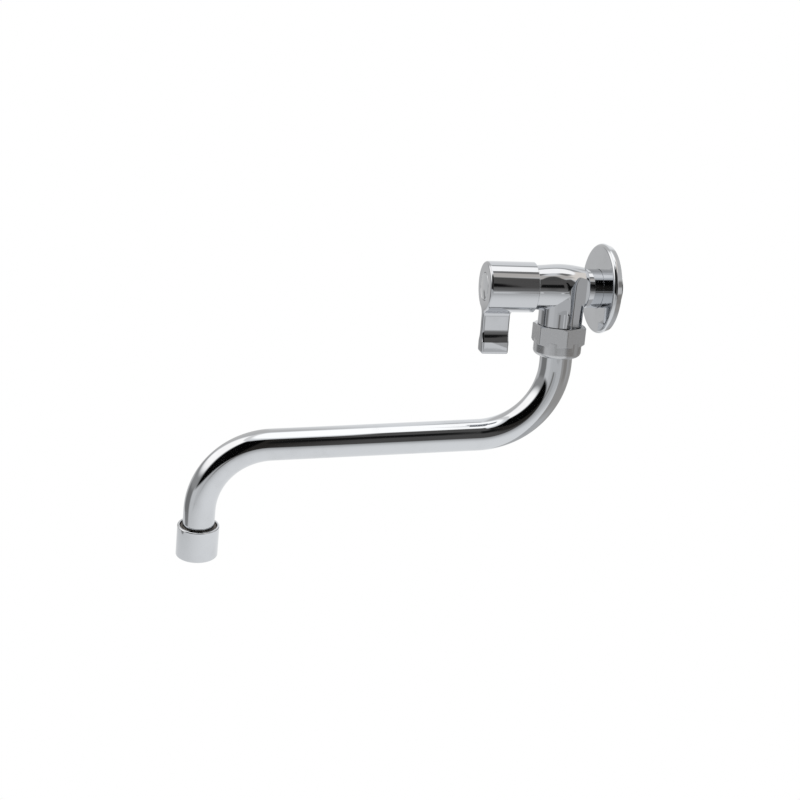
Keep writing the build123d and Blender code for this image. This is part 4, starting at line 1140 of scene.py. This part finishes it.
# %% Build the room in the world
class Dome:
    """The world's node tree, with the direction split into height and compass parts."""

    def __init__(self, tree):
        self.tree = tree
        where = tree.nodes.new("ShaderNodeTexCoord")
        split = add(tree, "ShaderNodeSeparateXYZ", Vector=where.outputs["Generated"])
        self.height = maths(tree, "MULTIPLY", maths(tree, "ARCSINE", split.outputs["Z"]), 180 / math.pi)
        flat = vector_maths(tree, "MULTIPLY", where.outputs["Generated"], (1, 1, 0))
        self.compass = vector_maths(tree, "NORMALIZE", flat.outputs["Vector"]).outputs["Vector"]
        self.colour = (1.0, 1.0, 1.0)

    def patch(self, level, warmth, middle, half, low, high, side_fade=6, low_fade=6, high_fade=6):
        """Lays a soft-edged area over what is there. A half width of 180 goes all round."""
        tree = self.tree
        colour = (level * (1 + warmth), level, level * (1 - warmth))
        mask = maths(tree, "MULTIPLY",
                     fade(tree, self.height, low - low_fade / 2, low + low_fade / 2),
                     fade(tree, self.height, high - high_fade / 2, high + high_fade / 2, 1.0, 0.0))
        if half < 180:
            turn = math.radians(middle)
            towards = vector_maths(tree, "DOT_PRODUCT", self.compass, (math.cos(turn), math.sin(turn), 0))
            off = maths(tree, "MULTIPLY", maths(tree, "ARCCOSINE", towards.outputs["Value"]), 180 / math.pi)
            mask = maths(tree, "MULTIPLY", mask, fade(
                tree, off, half - side_fade / 2, half + side_fade / 2, 1.0, 0.0))
        self.colour = blend(tree, mask, self.colour, colour)


world = bpy.data.worlds.new("studio")
bpy.context.scene.world = world
world.use_nodes = True
room = Dome(world.node_tree)
# A row holds brightness and warmth, the middle and half width round the horizon, the lowest and the highest
# edge, and over how many degrees the sides, the lower and the upper edge fade. 0 is +X and 90 is the wall.
FLOOR = [  # below the horizon, beyond the paper
    (0.55, 0, 0, 180, -200, -3),
    (0.40, 0.04, 90, 62, -40, -4, 12, 14, 6),
    (1.05, 0, 162, 16, -200, 8, 8),
    (0.62, 0.01, -160, 20, -200, 4, 8),
    (0.30, 0.01, -162, 3, -17, -12.4, 2, 3, 1.6),
    (0.24, 0.01, -106, 26, -25, 2, 16, 12, 8),
    (0.74, 0, -64, 18, -40, -2, 14, 20, 6),
    (0.66, 0, -43, 9, -36, -2, 10, 20, 6),
    (0.20, 0.05, -21, 5, -13.6, -4, 7, 1, 6),
    (0.52, 0, -4, 14, -26, -5, 10, 14, 6),
    (0.52, 0.01, 18, 8, -30, -6, 5, 8, 6),
    (0.10, 0.02, 34, 9, -13.6, -4, 7, 1, 6),
    (0.80, 0, 2, 3, -13.8, -12.2, 3, 0.6, 0.6),
    (0.88, 0, 16, 1.6, -18, -12.3, 1.2, 2, 0.6),
    (0.06, 0.01, 22, 3, -14.4, -12.8, 2, 0.4, 0.3),
    (0.30, 0.06, 58, 14, -22, 10, 10, 10, 10),
    (0.46, 0.02, 82, 10, -24, -4, 10, 10, 6),
]
LEFT = [  # the left side and its softbox
    (0.66, 0.02, -160, 20, 0, 60, 12, 10, 6),
    (0.36, 0.01, -110, 42, -3, 12, 14, 6, 12),
    (1.50, 0.03, -106, 30, 14, 57, 16, 16, 3),
]
OPENING = [  # the dark opening
    (0.002, 0, -38, 34, -3, 57, 12, 5, 6),
    (0.025, 0.1, -12, 12, -3, 57, 6, 6, 6),
    (0.09, 0.03, 5, 14, -5, 62, 8, 6, 8),
    (0.010, 0, -8, 8, 27, 52, 6, 10, 5),
    (0.11, 0.04, 24, 15, -3, 48, 6, 6, 8),
    (0.20, 0.02, 20, 12, -7, 5, 8, 4, 14),
    (0.008, 0, 11, 6.4, 10, 25, 1.5, 7, 6),
    (0.012, 0, 32, 10.5, -3, 20, 2, 6, 8),
    (0.004, 0, 24.2, 1.7, 6, 34, 1.2, 4, 3),
]
WALL_SIDE = [  # the wall side
    (0.66, 0.02, 92, 50, -4, 45, 8, 5, 8),
    (0.26, 0.05, 62, 6, 8, 19, 8, 5, 6),
    (0.04, 0, 120, 24, -13.2, 3, 6, 0.8, 4),
    (1.02, 0.08, 78, 36, 42, 62, 10, 8, 5),
]
OVERHEAD = [  # overhead
    (0.95, 0.02, -120, 34, 57, 66, 10, 3, 4),
    (0.50, 0, 142, 30, 54, 62, 8, 3, 3),
    (1.55, 0.02, -100, 112, 65, 200, 8, 6, 6),
    (1.55, 0.02, 118, 50, 61, 200, 8, 3, 6),
    (0.10, 0.03, 7, 20, 44, 67, 6, 6, 6),
    (0.66, 0.06, 39, 14, 51, 69, 7, 6, 6),
    (0.25, 0.02, 60, 13, 62, 75, 7, 5, 5),
]
for row in FLOOR + LEFT + OPENING + WALL_SIDE + OVERHEAD:
    room.patch(*row)

tree = world.node_tree
light_path = tree.nodes.new("ShaderNodeLightPath")
seen = blend(tree, light_path.outputs["Is Glossy Ray"], (1.0, 1.0, 1.0), room.colour)
join(tree, seen, tree.nodes["Background"].inputs["Color"])

# %% Lay the paper
PAPER_HEIGHT = -226
PAPER_BRIGHT, PAPER_DIM = 0.98, 0.64
FALL_START, FALL_END = 0.24, 0.64  # metres from the origin
paper_corners = [(-500, 420), (700, 420), (700, -310), (20, -37), (-500, 200)]
paper = add_row([(x, PAPER_HEIGHT, out) for x, out in paper_corners], "paper")
edit_all(paper)
bpy.ops.mesh.edge_face_add()
leave()

# the camera sees the paper plain white, and mirrors see it fade with the distance from the faucet: this glow
# is painted light, bright near the faucet and falling off further away
paper_white = bpy.data.materials.new("paper_white")
paper_white.use_nodes = True
tree = paper_white.node_tree
tree.nodes.clear()
where = tree.nodes.new("ShaderNodeTexCoord")
distance = vector_maths(tree, "LENGTH", where.outputs["Object"])
lit = fade(tree, distance.outputs["Value"], FALL_START, FALL_END, PAPER_BRIGHT, PAPER_DIM)
path = tree.nodes.new("ShaderNodeLightPath")
glow = tree.nodes.new("ShaderNodeEmission")
join(tree, maths(tree, "MAXIMUM", lit, path.outputs["Is Camera Ray"]), glow.inputs["Strength"])
join(tree, glow.outputs[0], tree.nodes.new("ShaderNodeOutputMaterial").inputs["Surface"])
paper.data.materials.append(paper_white)

# %% [markdown]
# ## The camera
#
# It stands to the right of the faucet and a little above it, and looks almost along the wall. It is tilted by
# three degrees, as the picture shows.

# %% Set up the camera
CAMERA_PLACE = Vector((0.496565, -0.204702, 0.099149))
CAMERA_RIGHT = Vector((0.168574, 0.984219, 0.053814))
CAMERA_UP = Vector((-0.311839, 0.001461, 0.950134))
FOCAL_PIXELS = 969.0
PICTURE_PIXELS = 800
SENSOR = 36
bpy.ops.object.camera_add(location=CAMERA_PLACE)
camera = bpy.context.object
camera.data.sensor_width = SENSOR
camera.data.lens = SENSOR * FOCAL_PIXELS / PICTURE_PIXELS
camera.data.clip_start = 0.01
turn = Matrix((CAMERA_RIGHT, CAMERA_UP, CAMERA_RIGHT.cross(CAMERA_UP))).transposed()
camera.matrix_world = Matrix.Translation(CAMERA_PLACE) @ turn.to_4x4()
bpy.context.scene.camera = camera
bpy.context.scene.view_settings.view_transform = "Standard"
